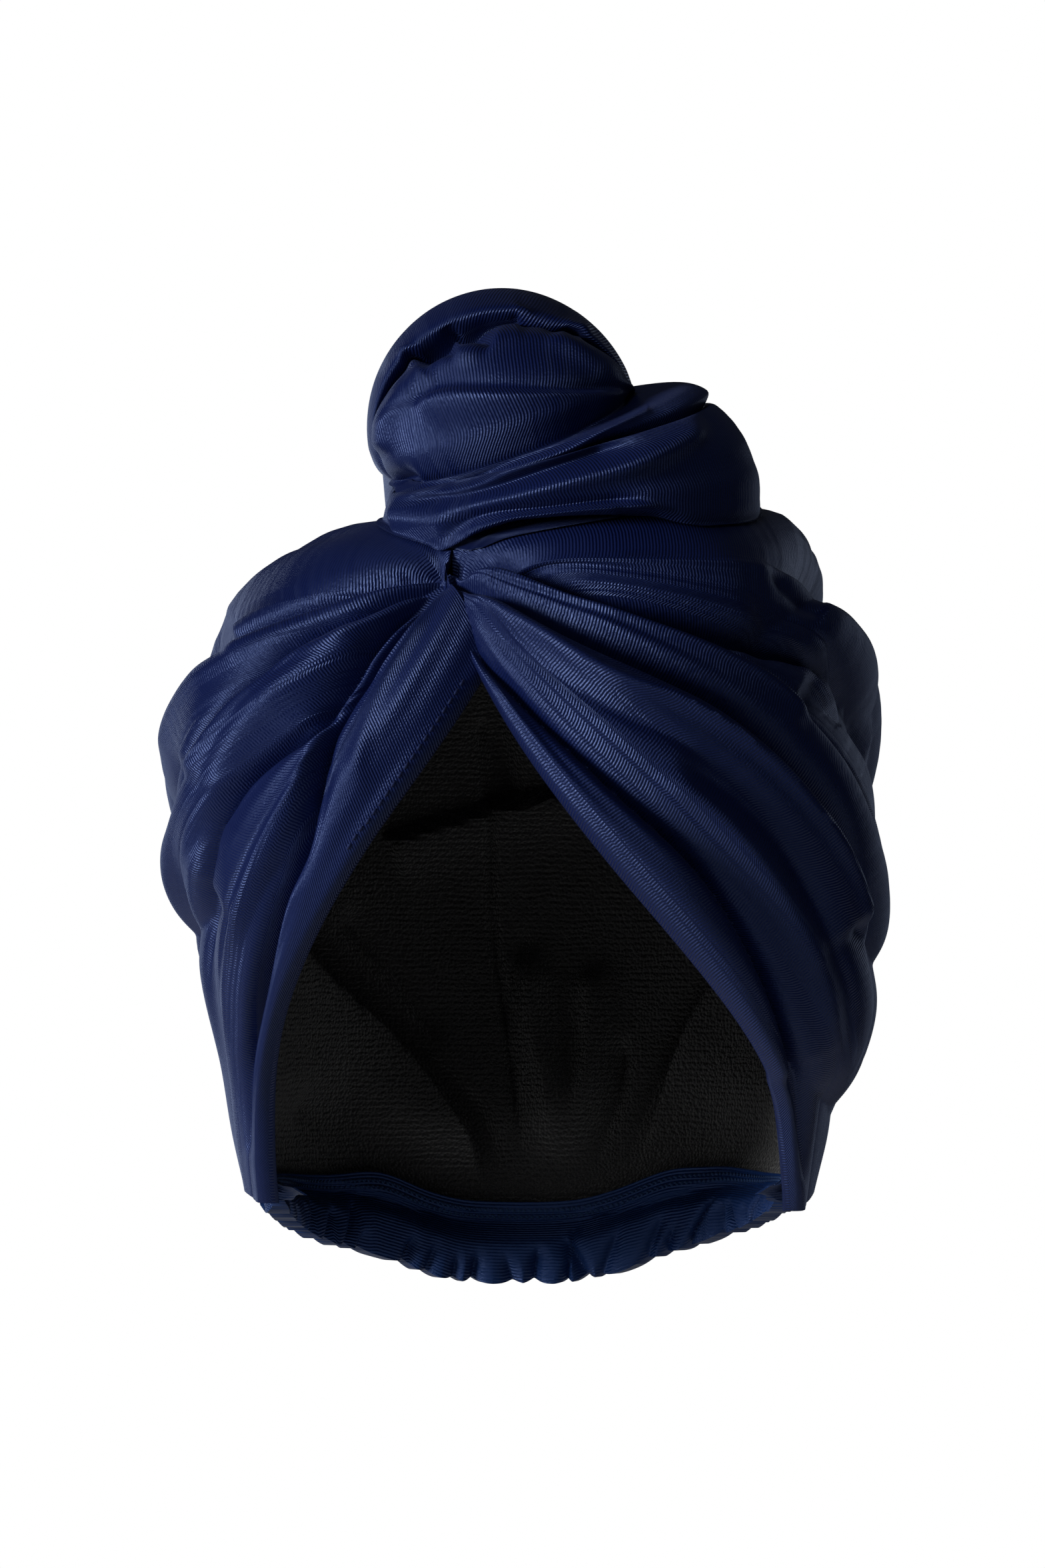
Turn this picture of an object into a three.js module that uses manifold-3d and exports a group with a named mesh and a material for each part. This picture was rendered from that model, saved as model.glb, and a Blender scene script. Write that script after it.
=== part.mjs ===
// Hair towel wrap, worn form: two satin panels drawn from a forehead knot round a head hollow,
// a terry lining, a gathered nape band, and the wound tail that rises from the knot and lies back.
// Millimetres, +Z up, the face opening looks along -Y, the origin is the crown inside the lining.

import * as THREE from 'three';
import { mergeVertices } from 'three/addons/utils/BufferGeometryUtils.js';
import Module from 'manifold-3d';

const wasm = await Module();
wasm.setup();

// ---------------------------------------------------------------- driving dimensions

const SATIN = 2.2; // radial thickness of a satin panel
const TERRY = 2.5; // radial thickness of the terry lining
const CLOTH_GAP = 1.2; // room between panel and lining, clear of their facets
const DOME_HEIGHT = 103; // from the middle of the head hollow to the outside of the crown
const DOME_POWER = 2.3; // fullness of the dome over the head, 2 is an ellipsoid
const PLAN_POWER = 2.2; // fullness of each level section, 2 is an ellipse
const HEAD_CENTRE = new THREE.Vector3(0, 0, SATIN + CLOTH_GAP + TERRY - DOME_HEIGHT);

// Level sections of the wrapped head below and just above its middle: half widths and depths.
const HEAD_SECTIONS = [
  { drop: -60, left: 105, right: 103, front: 104, back: 118 },
  { drop: -30, left: 104, right: 102, front: 104, back: 118 },
  { drop: 0, left: 102, right: 103, front: 104, back: 118 },
  { drop: 30, left: 95, right: 105, front: 99, back: 117 },
  { drop: 60, left: 89, right: 101, front: 87, back: 109 },
  { drop: 85, left: 86, right: 91, front: 68, back: 96 },
  { drop: 110, left: 81, right: 84, front: 50, back: 82 },
  { drop: 135, left: 77, right: 79, front: 42, back: 72 },
];

// Where fold lines begin, as turn from the front (positive to +X) and rise from level.
const KNOT = { turn0: -16.7, rise0: 46.6 }; // on the forehead
const LEFT_SEAM_START = { turn0: -17.4, rise0: 47 };
const RIGHT_SEAM_START = { turn0: -16, rise0: 47 };
const HEM_START = { turn0: -5, rise0: 33 }; // the left hem slips under the right flap here
const KNOT_END = 0.035; // the panels stop short of the knot by this share of their length

// Fold lines of each panel, from the face opening to the seam down the back. A line leaves the
// knot, passes two places on the head (turn and rise) and ends on the rim at a turn. The fold
// that lies between a line and the next has its bulge, its crest's place across (lean, 0 to 1)
// and the share of the line's length where it begins.
const withStart = (starts) => (line) => ({ ...(starts[line.name] ?? KNOT), ...line });
const LEFT_LINES = [
  { name: 'hem', turn1: -24, rise1: 3, turn2: -46, rise2: -24, rim: -72, bulge: 2.5, lean: 0.5, from: 0 },
  { name: 'facet', turn1: -29, rise1: 16, turn2: -51, rise2: -21, rim: -79, bulge: 4, lean: 0.6, from: 0 },
  { name: 'kink', turn1: -34, rise1: 15, turn2: -62, rise2: -20, rim: -88, bulge: 5, lean: 0.5, from: 0.15 },
  { name: 'fork', turn1: -43, rise1: 15, turn2: -84, rise2: -11, rim: -108, bulge: 8, lean: 0.5, from: 0.05 },
  { name: 'side', turn1: -56, rise1: 22, turn2: -104, rise2: -4, rim: -124, bulge: 8, lean: 0.5, from: 0 },
  { name: 'brow', turn1: -76, rise1: 34, turn2: -124, rise2: 10, rim: -143, bulge: 7, lean: 0.45, from: 0 },
  { name: 'back', turn1: -124, rise1: 58, turn2: -150, rise2: 4, rim: -162, bulge: 5, lean: 0.5, from: 0.1 },
  { name: 'seam', turn1: -179.6, rise1: 69, turn2: -179.6, rise2: 5, rim: -179.6 },
].map(withStart({ hem: HEM_START, seam: LEFT_SEAM_START }));
const RIGHT_LINES = [
  { name: 'edge', turn1: 6, rise1: 8, turn2: 36, rise2: -23.5, rim: 75.5, bulge: 3, lean: 0.5, from: 0 },
  { name: 'roll', turn1: 12.5, rise1: 12, turn2: 46, rise2: -18, rim: 82, bulge: 6, lean: 0.7, from: 0 },
  { name: 'deep', turn1: 30, rise1: 22, turn2: 70, rise2: -12, rim: 93, bulge: 7, lean: 0.6, from: 0 },
  { name: 'ridge', turn1: 44, rise1: 28, turn2: 92, rise2: -4, rim: 114, bulge: 4, lean: 0.5, from: 0.15 },
  { name: 'shelf', turn1: 62, rise1: 31, turn2: 112, rise2: 3, rim: 135, bulge: 16, lean: 0.4, from: 0 },
  { name: 'ear', turn1: 66, rise1: 42, turn2: 124, rise2: 30, rim: 152, bulge: 19, lean: 0.35, from: 0 },
  { name: 'crown', turn1: 96, rise1: 66, turn2: 152, rise2: 18, rim: 167, bulge: 5, lean: 0.5, from: 0 },
  { name: 'seam', turn1: 179.6, rise1: 69, turn2: 179.6, rise2: 5, rim: 179.6 },
].map(withStart({ seam: RIGHT_SEAM_START }));
const FOLD_COLUMNS = 5; // grid columns across one fold
const FOLD_ROWS = 16; // grid rows from knot to rim, closer together near the knot
const ROW_SPREAD = 1.15;
const CREASE_SHARPNESS = 0.75; // below 1 the sides of a fold stand steep at its creases
const RISE_SHARE = 0.34; // folds reach their full bulge at this share of their length
const FALL_SHARE = 0.62; // and lose it again from here to the rim
const RIM_BULGE = 0.22; // share of the bulge left at the rim
const LEVEL_FROM = 0.7; // from here to the rim the cloth's thickness turns level
const GROW_POWER = 0.8; // below 1 a fold swells fast where it begins
// The right flap rides over the left one at the knot, less and less along it and across its folds.
const FLAP = { lift: 4.2, fullTo: 0.15, goneAt: 0.5, fullFold: 2, goneFold: 6 };

// The rim that the nape band is sewn to: level at the sides, dipping at the middle of the back.
const RIM_DROP = 101;
const RIM_DIP = 10;
const DIP_FROM = 128; // turn where the dip begins
const DIP_FULL = 168; // turn where it is deepest

const LINING_COLUMNS = 32;
const LINING_ROWS = 11;

const BAND = {
  thick: 4, // with its elastic and gathers
  inset: 0.6, // from the outside of the rim
  cornerTall: 5,
  backTall: 19,
  tuck: 4, // its lower edge draws in by this much
  gap: 0.6, // to the rim above
  puckers: 22,
  pucker: 0.8, // how far a pucker stands out
};
const BAND_COLUMNS = 3 * BAND.puckers;
const BAND_ROWS = [0, 0.25, 0.65, 1]; // shares of the band's height

// Rings of the bun, from its foot in the knot to its hood: the middle of each ring from the
// centre of the head hollow, half width and half depth, tilt of the width in the front view,
// and how far the ring is laid back from level.
const BUN_RINGS = [
  { name: 'knot', x: -18, y: -54, z: 76.5, wide: 17, deep: 21, tilt: -8, laid: 0 },
  { name: 'foot', x: -8, y: -50, z: 83, wide: 26, deep: 28, tilt: -8, laid: 0 },
  { name: 'coil_two_foot', x: 17, y: -38, z: 91, wide: 50, deep: 36, tilt: 3, laid: 0 },
  { name: 'coil_two', x: 15, y: -38, z: 102, wide: 55, deep: 41, tilt: 6, laid: 0 },
  { name: 'coil_two_top', x: 12.5, y: -37, z: 114, wide: 54, deep: 40, tilt: 12, laid: 0 },
  { name: 'lip_crease', x: 7, y: -36, z: 118.5, wide: 48, deep: 35, tilt: 15, laid: 4 },
  { name: 'coil_one', x: 6.5, y: -35, z: 123, wide: 50, deep: 38, tilt: 17, laid: 8 },
  { name: 'lobe_foot', x: -3, y: -32, z: 127, wide: 41, deep: 37, tilt: 19, laid: 20 },
  { name: 'lobe', x: -5, y: -27, z: 132, wide: 38, deep: 37, tilt: 14, laid: 40 },
  { name: 'hood_crease', x: -5, y: -17, z: 130, wide: 38, deep: 31, tilt: 12, laid: 60 },
  { name: 'hood_lip', x: -5.5, y: -9, z: 128, wide: 39.5, deep: 39.5, tilt: 7, laid: 76 },
  { name: 'hood', x: -6, y: 4, z: 128, wide: 39.5, deep: 40.5, tilt: 4, laid: 88 },
];
// Rings of the tail, by how far each lies over the head from straight up towards the back.
const TAIL_RINGS = [
  { over: 22, wide: 37, deep: 31 },
  { over: 45, wide: 34, deep: 25 },
  { over: 70, wide: 30, deep: 19 },
  { over: 92, wide: 26, deep: 15 },
  { over: 112, wide: 19, deep: 11 },
  { over: 125, wide: 11, deep: 6 },
];
const TAIL_SIDE = -6; // the tail lies a little to the left of the seam
const TAIL_CLEAR = 1; // height of the tail's underside over the head, less than the folds under it
const RING_SIDES = 24;
const RINGS_BETWEEN = 2; // rings lofted for each row of the tables
const TWIST_PLEATS = { count: 5, depth: 0.05, turns: 1.1 };
const REST_GAP = 1.4; // outward room under the bun and the tail, narrower where a fold stands steep
const EDGE_ROOM = 0.5; // and room beside the right panel's edge, as a share of a fold

const BUTTON = { radius: 9, thick: 5, over: 134, clear: 3.5 };

// ---------------------------------------------------------------- materials

const satin = new THREE.MeshStandardMaterial({ color: 0x16204f, roughness: 0.38, metalness: 0 });
const terry = new THREE.MeshStandardMaterial({ color: 0x0b0b0c, roughness: 1, metalness: 0 });
const plastic = new THREE.MeshStandardMaterial({ color: 0x10131f, roughness: 0.45, metalness: 0 });

// ---------------------------------------------------------------- small maths

const radians = THREE.MathUtils.degToRad;
const mix = THREE.MathUtils.lerp;
const ease = THREE.MathUtils.smoothstep; // ease(value, from, to)

function direction(turn, rise) {
  const level = Math.cos(radians(rise));
  return new THREE.Vector3(
    Math.sin(radians(turn)) * level,
    -Math.cos(radians(turn)) * level,
    Math.sin(radians(rise)),
  );
}

// Smooth value of a named column of a table, at a place given in another column.
function lookUp(rows, key, place, column) {
  const last = rows.length - 1;
  const at = THREE.MathUtils.clamp(place, rows[0][key], rows[last][key]);
  let k = 0;
  while (k < last - 1 && rows[k + 1][key] < at) k += 1;
  const slope = (n) => {
    const a = rows[Math.max(n - 1, 0)];
    const b = rows[Math.min(n + 1, last)];
    return (b[column] - a[column]) / (b[key] - a[key]);
  };
  const span = rows[k + 1][key] - rows[k][key];
  const t = (at - rows[k][key]) / span;
  const bend = t * (1 - t) * span;
  const straight = mix(rows[k][column], rows[k + 1][column], t * t * (3 - 2 * t));
  return straight + bend * ((1 - t) * slope(k) - t * slope(k + 1));
}

// ---------------------------------------------------------------- the wrapped head

function levelRadius(turn, z) {
  const side = Math.sin(radians(turn));
  const ahead = Math.cos(radians(turn));
  const width = lookUp(HEAD_SECTIONS, 'drop', -z, side < 0 ? 'left' : 'right');
  const depth = lookUp(HEAD_SECTIONS, 'drop', -z, ahead > 0 ? 'front' : 'back');
  const sum = (Math.abs(side) / width) ** PLAN_POWER + (Math.abs(ahead) / depth) ** PLAN_POWER;
  return sum ** (-1 / PLAN_POWER);
}

// Distance from the centre to the outside of the wrapped head in a direction.
function headRadius(dir) {
  const turn = THREE.MathUtils.radToDeg(Math.atan2(dir.x, -dir.y));
  const level = Math.hypot(dir.x, dir.y);
  let inside = 0;
  let outside = 220;
  while (outside - inside > 1e-4) {
    const r = (inside + outside) / 2;
    const z = r * dir.z;
    const plan = (r * level) / levelRadius(turn, z);
    const dome = z > 0 ? (z / DOME_HEIGHT) ** DOME_POWER : 0;
    if (plan ** DOME_POWER + dome < 1) inside = r;
    else outside = r;
  }
  return inside;
}

function rimDirection(turn) {
  const dip = RIM_DIP * ease(Math.abs(turn), DIP_FROM, DIP_FULL);
  const z = -RIM_DROP - dip;
  const r = levelRadius(turn, z);
  return new THREE.Vector3(r * Math.sin(radians(turn)), -r * Math.cos(radians(turn)), z).normalize();
}

// ---------------------------------------------------------------- fold lines and folds

const STATIONS = Array.from({ length: FOLD_ROWS + 1 }, (_, row) => {
  const share = (row / FOLD_ROWS) ** ROW_SPREAD;
  return mix(KNOT_END, 1, share);
});

// The line that runs between two fold lines, across = 0 to 1 from one to the other.
function lineBetween(a, b, across) {
  const line = {};
  for (const column of ['turn0', 'rise0', 'turn1', 'rise1', 'turn2', 'rise2', 'rim']) {
    line[column] = mix(a[column], b[column], across);
  }
  return line;
}

// A line from its start through its two places to the rim, along = 0 to 1.
function lineDirection(line, along) {
  const places = [
    direction(line.turn0, line.rise0),
    direction(line.turn1, line.rise1),
    direction(line.turn2, line.rise2),
    rimDirection(line.rim),
  ];
  const stations = [0, 1 / 3, 2 / 3, 1];
  const sum = new THREE.Vector3();
  places.forEach((place, n) => {
    let weight = 1;
    stations.forEach((station, m) => {
      if (m !== n) weight *= (along - station) / (stations[n] - station);
    });
    sum.addScaledVector(place, weight);
  });
  return sum.normalize();
}

function foldHeight(line, across, along) {
  const lean = line.lean;
  const half = across < lean ? across / lean : 1 + (across - lean) / (1 - lean);
  const crest = Math.max(Math.sin((half * Math.PI) / 2), 0) ** CREASE_SHARPNESS;
  const grow = THREE.MathUtils.clamp((along - line.from) / (RISE_SHARE - line.from), 0, 1) ** GROW_POWER;
  const fall = mix(1, RIM_BULGE, ease(along, FALL_SHARE, 1));
  return line.bulge * crest * grow * fall;
}

// Away from the head: straight from the centre, and level at the rim.
function outward(dir, along) {
  return new THREE.Vector3(dir.x, dir.y, dir.z * (1 - ease(along, LEVEL_FROM, 1))).normalize();
}

function surfacePoint(dir, along, height) {
  const base = dir.clone().multiplyScalar(headRadius(dir));
  return base.addScaledVector(outward(dir, along), height).add(HEAD_CENTRE);
}

// A point of a panel: fold number k, across it 0 to 1, along it 0 to 1, offset outwards.
function panelPoint(lines, k, across, along, offset) {
  const dir = lineDirection(lineBetween(lines[k], lines[k + 1], across), along);
  const overFlap = lines === RIGHT_LINES ? 1 - ease(k + across, FLAP.fullFold, FLAP.goneFold) : 0;
  const lift = FLAP.lift * overFlap * (1 - ease(along, FLAP.fullTo, FLAP.goneAt));
  return surfacePoint(dir, along, foldHeight(lines[k], across, along) + lift + offset);
}

function panelGrid(lines, firstFold, stations, offset) {
  const grid = [];
  for (let k = firstFold; k < lines.length - 1; k += 1) {
    const columns = k === lines.length - 2 ? FOLD_COLUMNS + 1 : FOLD_COLUMNS;
    for (let c = 0; c < columns; c += 1) {
      grid.push(stations.map((along) => panelPoint(lines, k, c / FOLD_COLUMNS, along, offset)));
    }
  }
  return grid;
}

// ---------------------------------------------------------------- solids

// A geometry from points and triangles, turned so that its faces point out.
function solidGeometry(points, triangles) {
  let volume = 0;
  const cross = new THREE.Vector3();
  for (const [a, b, c] of triangles) volume += points[a].dot(cross.crossVectors(points[b], points[c]));
  const faces = volume < 0 ? triangles.map(([a, b, c]) => [a, c, b]) : triangles;
  const geometry = new THREE.BufferGeometry();
  const numbers = points.flatMap((p) => [p.x, p.y, p.z]);
  geometry.setAttribute('position', new THREE.Float32BufferAttribute(numbers, 3));
  geometry.setIndex(faces.flat());
  return geometry;
}

function quad(triangles, a, b, c, d) {
  triangles.push([a, b, c], [a, c, d]);
}

// A wall between two grids of points of one size, closed along its four edges.
function wallGeometry(outer, inner) {
  const rows = outer[0].length;
  const skin = outer.length * rows;
  const points = [...outer.flat(), ...inner.flat()];
  const triangles = [];
  const edge = (a, b) => quad(triangles, a, b, b + skin, a + skin);
  for (let i = 0; i + 1 < outer.length; i += 1) {
    for (let j = 0; j + 1 < rows; j += 1) {
      const a = i * rows + j;
      quad(triangles, a, a + 1, a + rows + 1, a + rows);
      quad(triangles, a + skin, a + rows + skin, a + rows + 1 + skin, a + 1 + skin);
    }
    edge(i * rows, (i + 1) * rows);
    edge((i + 2) * rows - 1, (i + 1) * rows - 1);
  }
  for (let j = 0; j + 1 < rows; j += 1) {
    edge(j + 1, j);
    edge(skin - rows + j, skin - rows + j + 1);
  }
  return solidGeometry(points, triangles);
}

// A tube through closed rings of one size, capped at both ends.
function tubeGeometry(rings) {
  const sides = rings[0].length;
  const points = rings.flat();
  const triangles = [];
  for (let r = 0; r + 1 < rings.length; r += 1) {
    for (let s = 0; s < sides; s += 1) {
      const next = (s + 1) % sides;
      quad(triangles, r * sides + s, r * sides + next, (r + 1) * sides + next, (r + 1) * sides + s);
    }
  }
  const last = (rings.length - 1) * sides;
  for (let s = 1; s + 1 < sides; s += 1) {
    triangles.push([0, s + 1, s]);
    triangles.push([last, last + s, last + s + 1]);
  }
  return solidGeometry(points, triangles);
}

function toManifold(geometry) {
  const merged = mergeVertices(geometry, 1e-4);
  return new wasm.Manifold(new wasm.Mesh({
    numProp: 3,
    vertProperties: new Float32Array(merged.attributes.position.array),
    triVerts: new Uint32Array(merged.index.array),
  }));
}

function fromManifold(solid) {
  const mesh = solid.getMesh();
  const geometry = new THREE.BufferGeometry();
  geometry.setAttribute('position', new THREE.BufferAttribute(new Float32Array(mesh.vertProperties), 3));
  geometry.setIndex(new THREE.BufferAttribute(new Uint32Array(mesh.triVerts), 1));
  return geometry;
}

// ---------------------------------------------------------------- panels and lining

function makePanel(name, lines) {
  const geometry = wallGeometry(panelGrid(lines, 0, STATIONS, 0), panelGrid(lines, 0, STATIONS, -SATIN));
  return namedMesh(name, geometry, satin);
}

// The lining runs from the hem round the back to the right edge, under the panels.
function liningPoint(share, along, offset) {
  const onLeft = share < 0.5;
  const lines = onLeft ? LEFT_LINES : RIGHT_LINES;
  const place = (onLeft ? share : 1 - share) * 2 * (lines.length - 1);
  const k = Math.min(Math.floor(place), lines.length - 2);
  return surfacePoint(lineDirection(lineBetween(lines[k], lines[k + 1], place - k), along), along, offset);
}

function liningGrid(offset) {
  const grid = [];
  for (let c = 0; c <= LINING_COLUMNS; c += 1) {
    const column = [];
    for (let row = 0; row <= LINING_ROWS; row += 1) {
      column.push(liningPoint(c / LINING_COLUMNS, mix(2 * KNOT_END, 1, row / LINING_ROWS), offset));
    }
    grid.push(column);
  }
  return grid;
}

function makeLining() {
  const outside = -SATIN - CLOTH_GAP;
  return namedMesh('terry_lining', wallGeometry(liningGrid(outside), liningGrid(outside - TERRY)), terry);
}

// ---------------------------------------------------------------- nape band

// A strip below the rim, from the left corner round the nape to the right one.
function bandPoint(share, down, offset) {
  const turn = mix(LEFT_LINES[0].rim, RIGHT_LINES[0].rim - 360, share);
  const tall = mix(BAND.cornerTall, BAND.backTall, ease(Math.sin(share * Math.PI), 0.3, 0.98));
  const wave = BAND.pucker * Math.cos(share * BAND.puckers * 2 * Math.PI) * down;
  const level = rimDirection(turn > -180 ? turn : turn + 360);
  const rim = level.multiplyScalar(headRadius(level));
  const out = new THREE.Vector3(Math.sin(radians(turn)), -Math.cos(radians(turn)), 0);
  return rim.addScaledVector(out, offset + wave - down * BAND.tuck)
    .add(new THREE.Vector3(0, 0, -BAND.gap - down * (tall + wave)))
    .add(HEAD_CENTRE);
}

function makeBand() {
  const strip = (offset) => {
    const grid = [];
    for (let c = 0; c <= BAND_COLUMNS; c += 1) {
      grid.push(BAND_ROWS.map((down) => bandPoint(c / BAND_COLUMNS, down, offset)));
    }
    return grid;
  };
  return namedMesh('nape_band', wallGeometry(strip(-BAND.inset), strip(-BAND.inset - BAND.thick)), satin);
}

// ---------------------------------------------------------------- bun and tail

function bunFrame(row) {
  const across = new THREE.Vector3(Math.cos(radians(row.tilt)), 0, Math.sin(radians(row.tilt)));
  const up = new THREE.Vector3(-across.z, 0, across.x);
  const ahead = up.multiplyScalar(Math.sin(radians(row.laid))).add(
    new THREE.Vector3(0, -Math.cos(radians(row.laid)), 0),
  );
  const middle = new THREE.Vector3(row.x, row.y, row.z);
  return { middle, across: across.multiplyScalar(row.wide), ahead: ahead.multiplyScalar(row.deep) };
}

function tailFrame(row) {
  const out = new THREE.Vector3(0, Math.sin(radians(row.over)), Math.cos(radians(row.over)));
  const middle = out.clone().multiplyScalar(headRadius(out) + TAIL_CLEAR + row.deep);
  middle.x = TAIL_SIDE;
  return { middle, across: new THREE.Vector3(row.wide, 0, 0), ahead: out.multiplyScalar(row.deep) };
}

function ringPoint(frame, angle, along) {
  const phase = TWIST_PLEATS.count * (angle + along * TWIST_PLEATS.turns * 2 * Math.PI);
  const size = 1 + TWIST_PLEATS.depth * (Math.abs(Math.cos(phase / 2)) - 0.5);
  return frame.middle.clone()
    .addScaledVector(frame.across, Math.cos(angle) * size)
    .addScaledVector(frame.ahead, Math.sin(angle) * size)
    .add(HEAD_CENTRE);
}

function woundRings() {
  const frames = [...BUN_RINGS.map(bunFrame), ...TAIL_RINGS.map(tailFrame)];
  const curves = ['middle', 'across', 'ahead'].map((part) =>
    new THREE.CatmullRomCurve3(frames.map((frame) => frame[part]), false, 'catmullrom', 0.5));
  const count = (frames.length - 1) * RINGS_BETWEEN;
  const rings = [];
  for (let r = 0; r <= count; r += 1) {
    const [middle, across, ahead] = curves.map((curve) => curve.getPoint(r / count));
    const ring = [];
    for (let s = 0; s < RING_SIDES; s += 1) {
      ring.push(ringPoint({ middle, across, ahead }, (s / RING_SIDES) * 2 * Math.PI, r / count));
    }
    rings.push(ring);
  }
  return rings;
}

// The room that the head and the panels take up, as one body from the centre out to just above
// the panels and past the right one's edge. Its facets run like the panels' own.
function wrappedHead() {
  const stations = [KNOT_END / 10, ...STATIONS];
  const aside = stations.map((along) => panelPoint(RIGHT_LINES, 0, -EDGE_ROOM, along, REST_GAP));
  const left = panelGrid(LEFT_LINES, 1, stations, REST_GAP);
  const right = panelGrid(RIGHT_LINES, 0, stations, REST_GAP).toReversed();
  const columns = [...left, ...right, aside];
  const rows = stations.length;
  const points = [...columns.flat(), HEAD_CENTRE];
  const middle = points.length - 1;
  const triangles = [];
  for (let i = 0; i + 1 < columns.length; i += 1) {
    for (let j = 0; j + 1 < rows; j += 1) {
      const a = i * rows + j;
      if (i < left.length) quad(triangles, a, a + 1, a + rows + 1, a + rows);
      else quad(triangles, a + 1, a + rows + 1, a + rows, a);
    }
    triangles.push([middle, i * rows, (i + 1) * rows]);
    triangles.push([middle, (i + 2) * rows - 1, (i + 1) * rows - 1]);
  }
  for (let j = 0; j + 1 < rows; j += 1) {
    const last = (columns.length - 1) * rows + j;
    triangles.push([middle, j + 1, j]);
    triangles.push([middle, last, last + 1]);
  }
  return toManifold(solidGeometry(points, triangles));
}

function makeTail() {
  const rest = toManifold(tubeGeometry(woundRings())).subtract(wrappedHead());
  const bodies = rest.decompose().sort((a, b) => b.volume() - a.volume());
  return namedMesh('twisted_tail', fromManifold(bodies[0]), satin);
}

// ---------------------------------------------------------------- button

// A plain round button over the seam, below the end of the tail.
function makeButton() {
  const over = radians(BUTTON.over);
  const out = new THREE.Vector3(0, Math.sin(over), Math.cos(over));
  const geometry = new THREE.CylinderGeometry(BUTTON.radius, BUTTON.radius, BUTTON.thick, 24);
  const mesh = namedMesh('tail_button', geometry, plastic);
  const height = headRadius(out) + BUTTON.clear + BUTTON.thick / 2;
  mesh.quaternion.setFromUnitVectors(new THREE.Vector3(0, 1, 0), out);
  mesh.position.copy(out).multiplyScalar(height).add(HEAD_CENTRE);
  mesh.position.x = TAIL_SIDE;
  return mesh;
}

// ---------------------------------------------------------------- assembly

function namedMesh(name, geometry, material) {
  geometry.computeVertexNormals();
  const mesh = new THREE.Mesh(geometry, material);
  mesh.name = name;
  return mesh;
}

const wrap = new THREE.Group();
wrap.add(makePanel('left_panel', LEFT_LINES));
wrap.add(makePanel('right_panel', RIGHT_LINES));
wrap.add(makeLining());
wrap.add(makeBand());
wrap.add(makeTail());
wrap.add(makeButton());

export default wrap;
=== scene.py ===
"""Hair towel wrap, worn form: satin panels drawn to a forehead knot, the wound bun and tail,
a terry lining and a gathered nape band.

Shapes are worked out in millimetres about the head's centre; add_mesh turns them into metres in
the row's frame. In degrees, turns go round from the front (positive to +X) and rises up from level.
"""
import math
from types import SimpleNamespace as Named

import bpy
import numpy as np
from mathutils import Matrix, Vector
from mathutils.bvhtree import BVHTree


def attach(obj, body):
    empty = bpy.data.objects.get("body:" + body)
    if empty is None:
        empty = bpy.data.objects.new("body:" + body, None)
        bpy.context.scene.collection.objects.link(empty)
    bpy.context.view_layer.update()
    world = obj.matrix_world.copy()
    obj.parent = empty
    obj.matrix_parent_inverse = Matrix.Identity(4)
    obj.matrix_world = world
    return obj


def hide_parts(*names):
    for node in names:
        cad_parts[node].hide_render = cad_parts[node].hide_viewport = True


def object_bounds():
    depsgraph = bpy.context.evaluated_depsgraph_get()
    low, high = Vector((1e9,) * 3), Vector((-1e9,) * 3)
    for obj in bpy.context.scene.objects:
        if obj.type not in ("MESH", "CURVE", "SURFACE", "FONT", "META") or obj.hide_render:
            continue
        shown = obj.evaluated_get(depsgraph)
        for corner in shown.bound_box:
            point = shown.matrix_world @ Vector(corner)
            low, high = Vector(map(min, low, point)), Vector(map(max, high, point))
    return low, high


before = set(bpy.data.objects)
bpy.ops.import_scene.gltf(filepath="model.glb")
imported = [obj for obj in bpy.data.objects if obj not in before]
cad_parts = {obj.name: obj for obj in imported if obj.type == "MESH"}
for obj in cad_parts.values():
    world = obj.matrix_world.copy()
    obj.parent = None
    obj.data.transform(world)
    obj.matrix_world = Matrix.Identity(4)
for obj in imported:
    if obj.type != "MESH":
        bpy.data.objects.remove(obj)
CAD_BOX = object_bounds()


def table(columns, *rows):
    """Rows of values under named columns."""
    return [Named(**dict(zip(columns.split(), row))) for row in rows]


def column(rows, name):
    return np.array([getattr(row, name) for row in rows], float)


# ---- driving dimensions (mm)

SATIN, CLOTH_GAP, TERRY = 2.2, 1.2, 2.5  # the cloths' thickness, and the gap between them
DOME_HEIGHT = 103  # from the head's centre to its top
DOME_POWER, PLAN_POWER = 2.3, 2.2  # how square it is from the side and from above
FRAME_LIFT = 20  # its centre lies this far below the middle of the wrap
HEAD_CENTRE = np.array([0, 0, SATIN + CLOTH_GAP + TERRY - DOME_HEIGHT])

# Half widths of the wrapped head at depths below its centre.
HEAD_SECTIONS = table(
    "drop left right front back",
    (-60, 105, 103, 104, 118),
    (-30, 104, 102, 104, 118),
    (0, 102, 103, 104, 118),
    (30, 95, 105, 99, 117),
    (60, 89, 101, 87, 109),
    (85, 86, 91, 68, 96),
    (110, 81, 84, 50, 82),
    (135, 77, 79, 42, 72),
)

KNOT = (-16.7, 46.6)  # turn and rise of the forehead knot
KNOT_END = 0.004  # the cloth begins at this share of the way from the knot to the rim
RIM = Named(drop=101, dip=10, dip_at=(128, 168))  # its depth, and its dip over these turns

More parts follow.
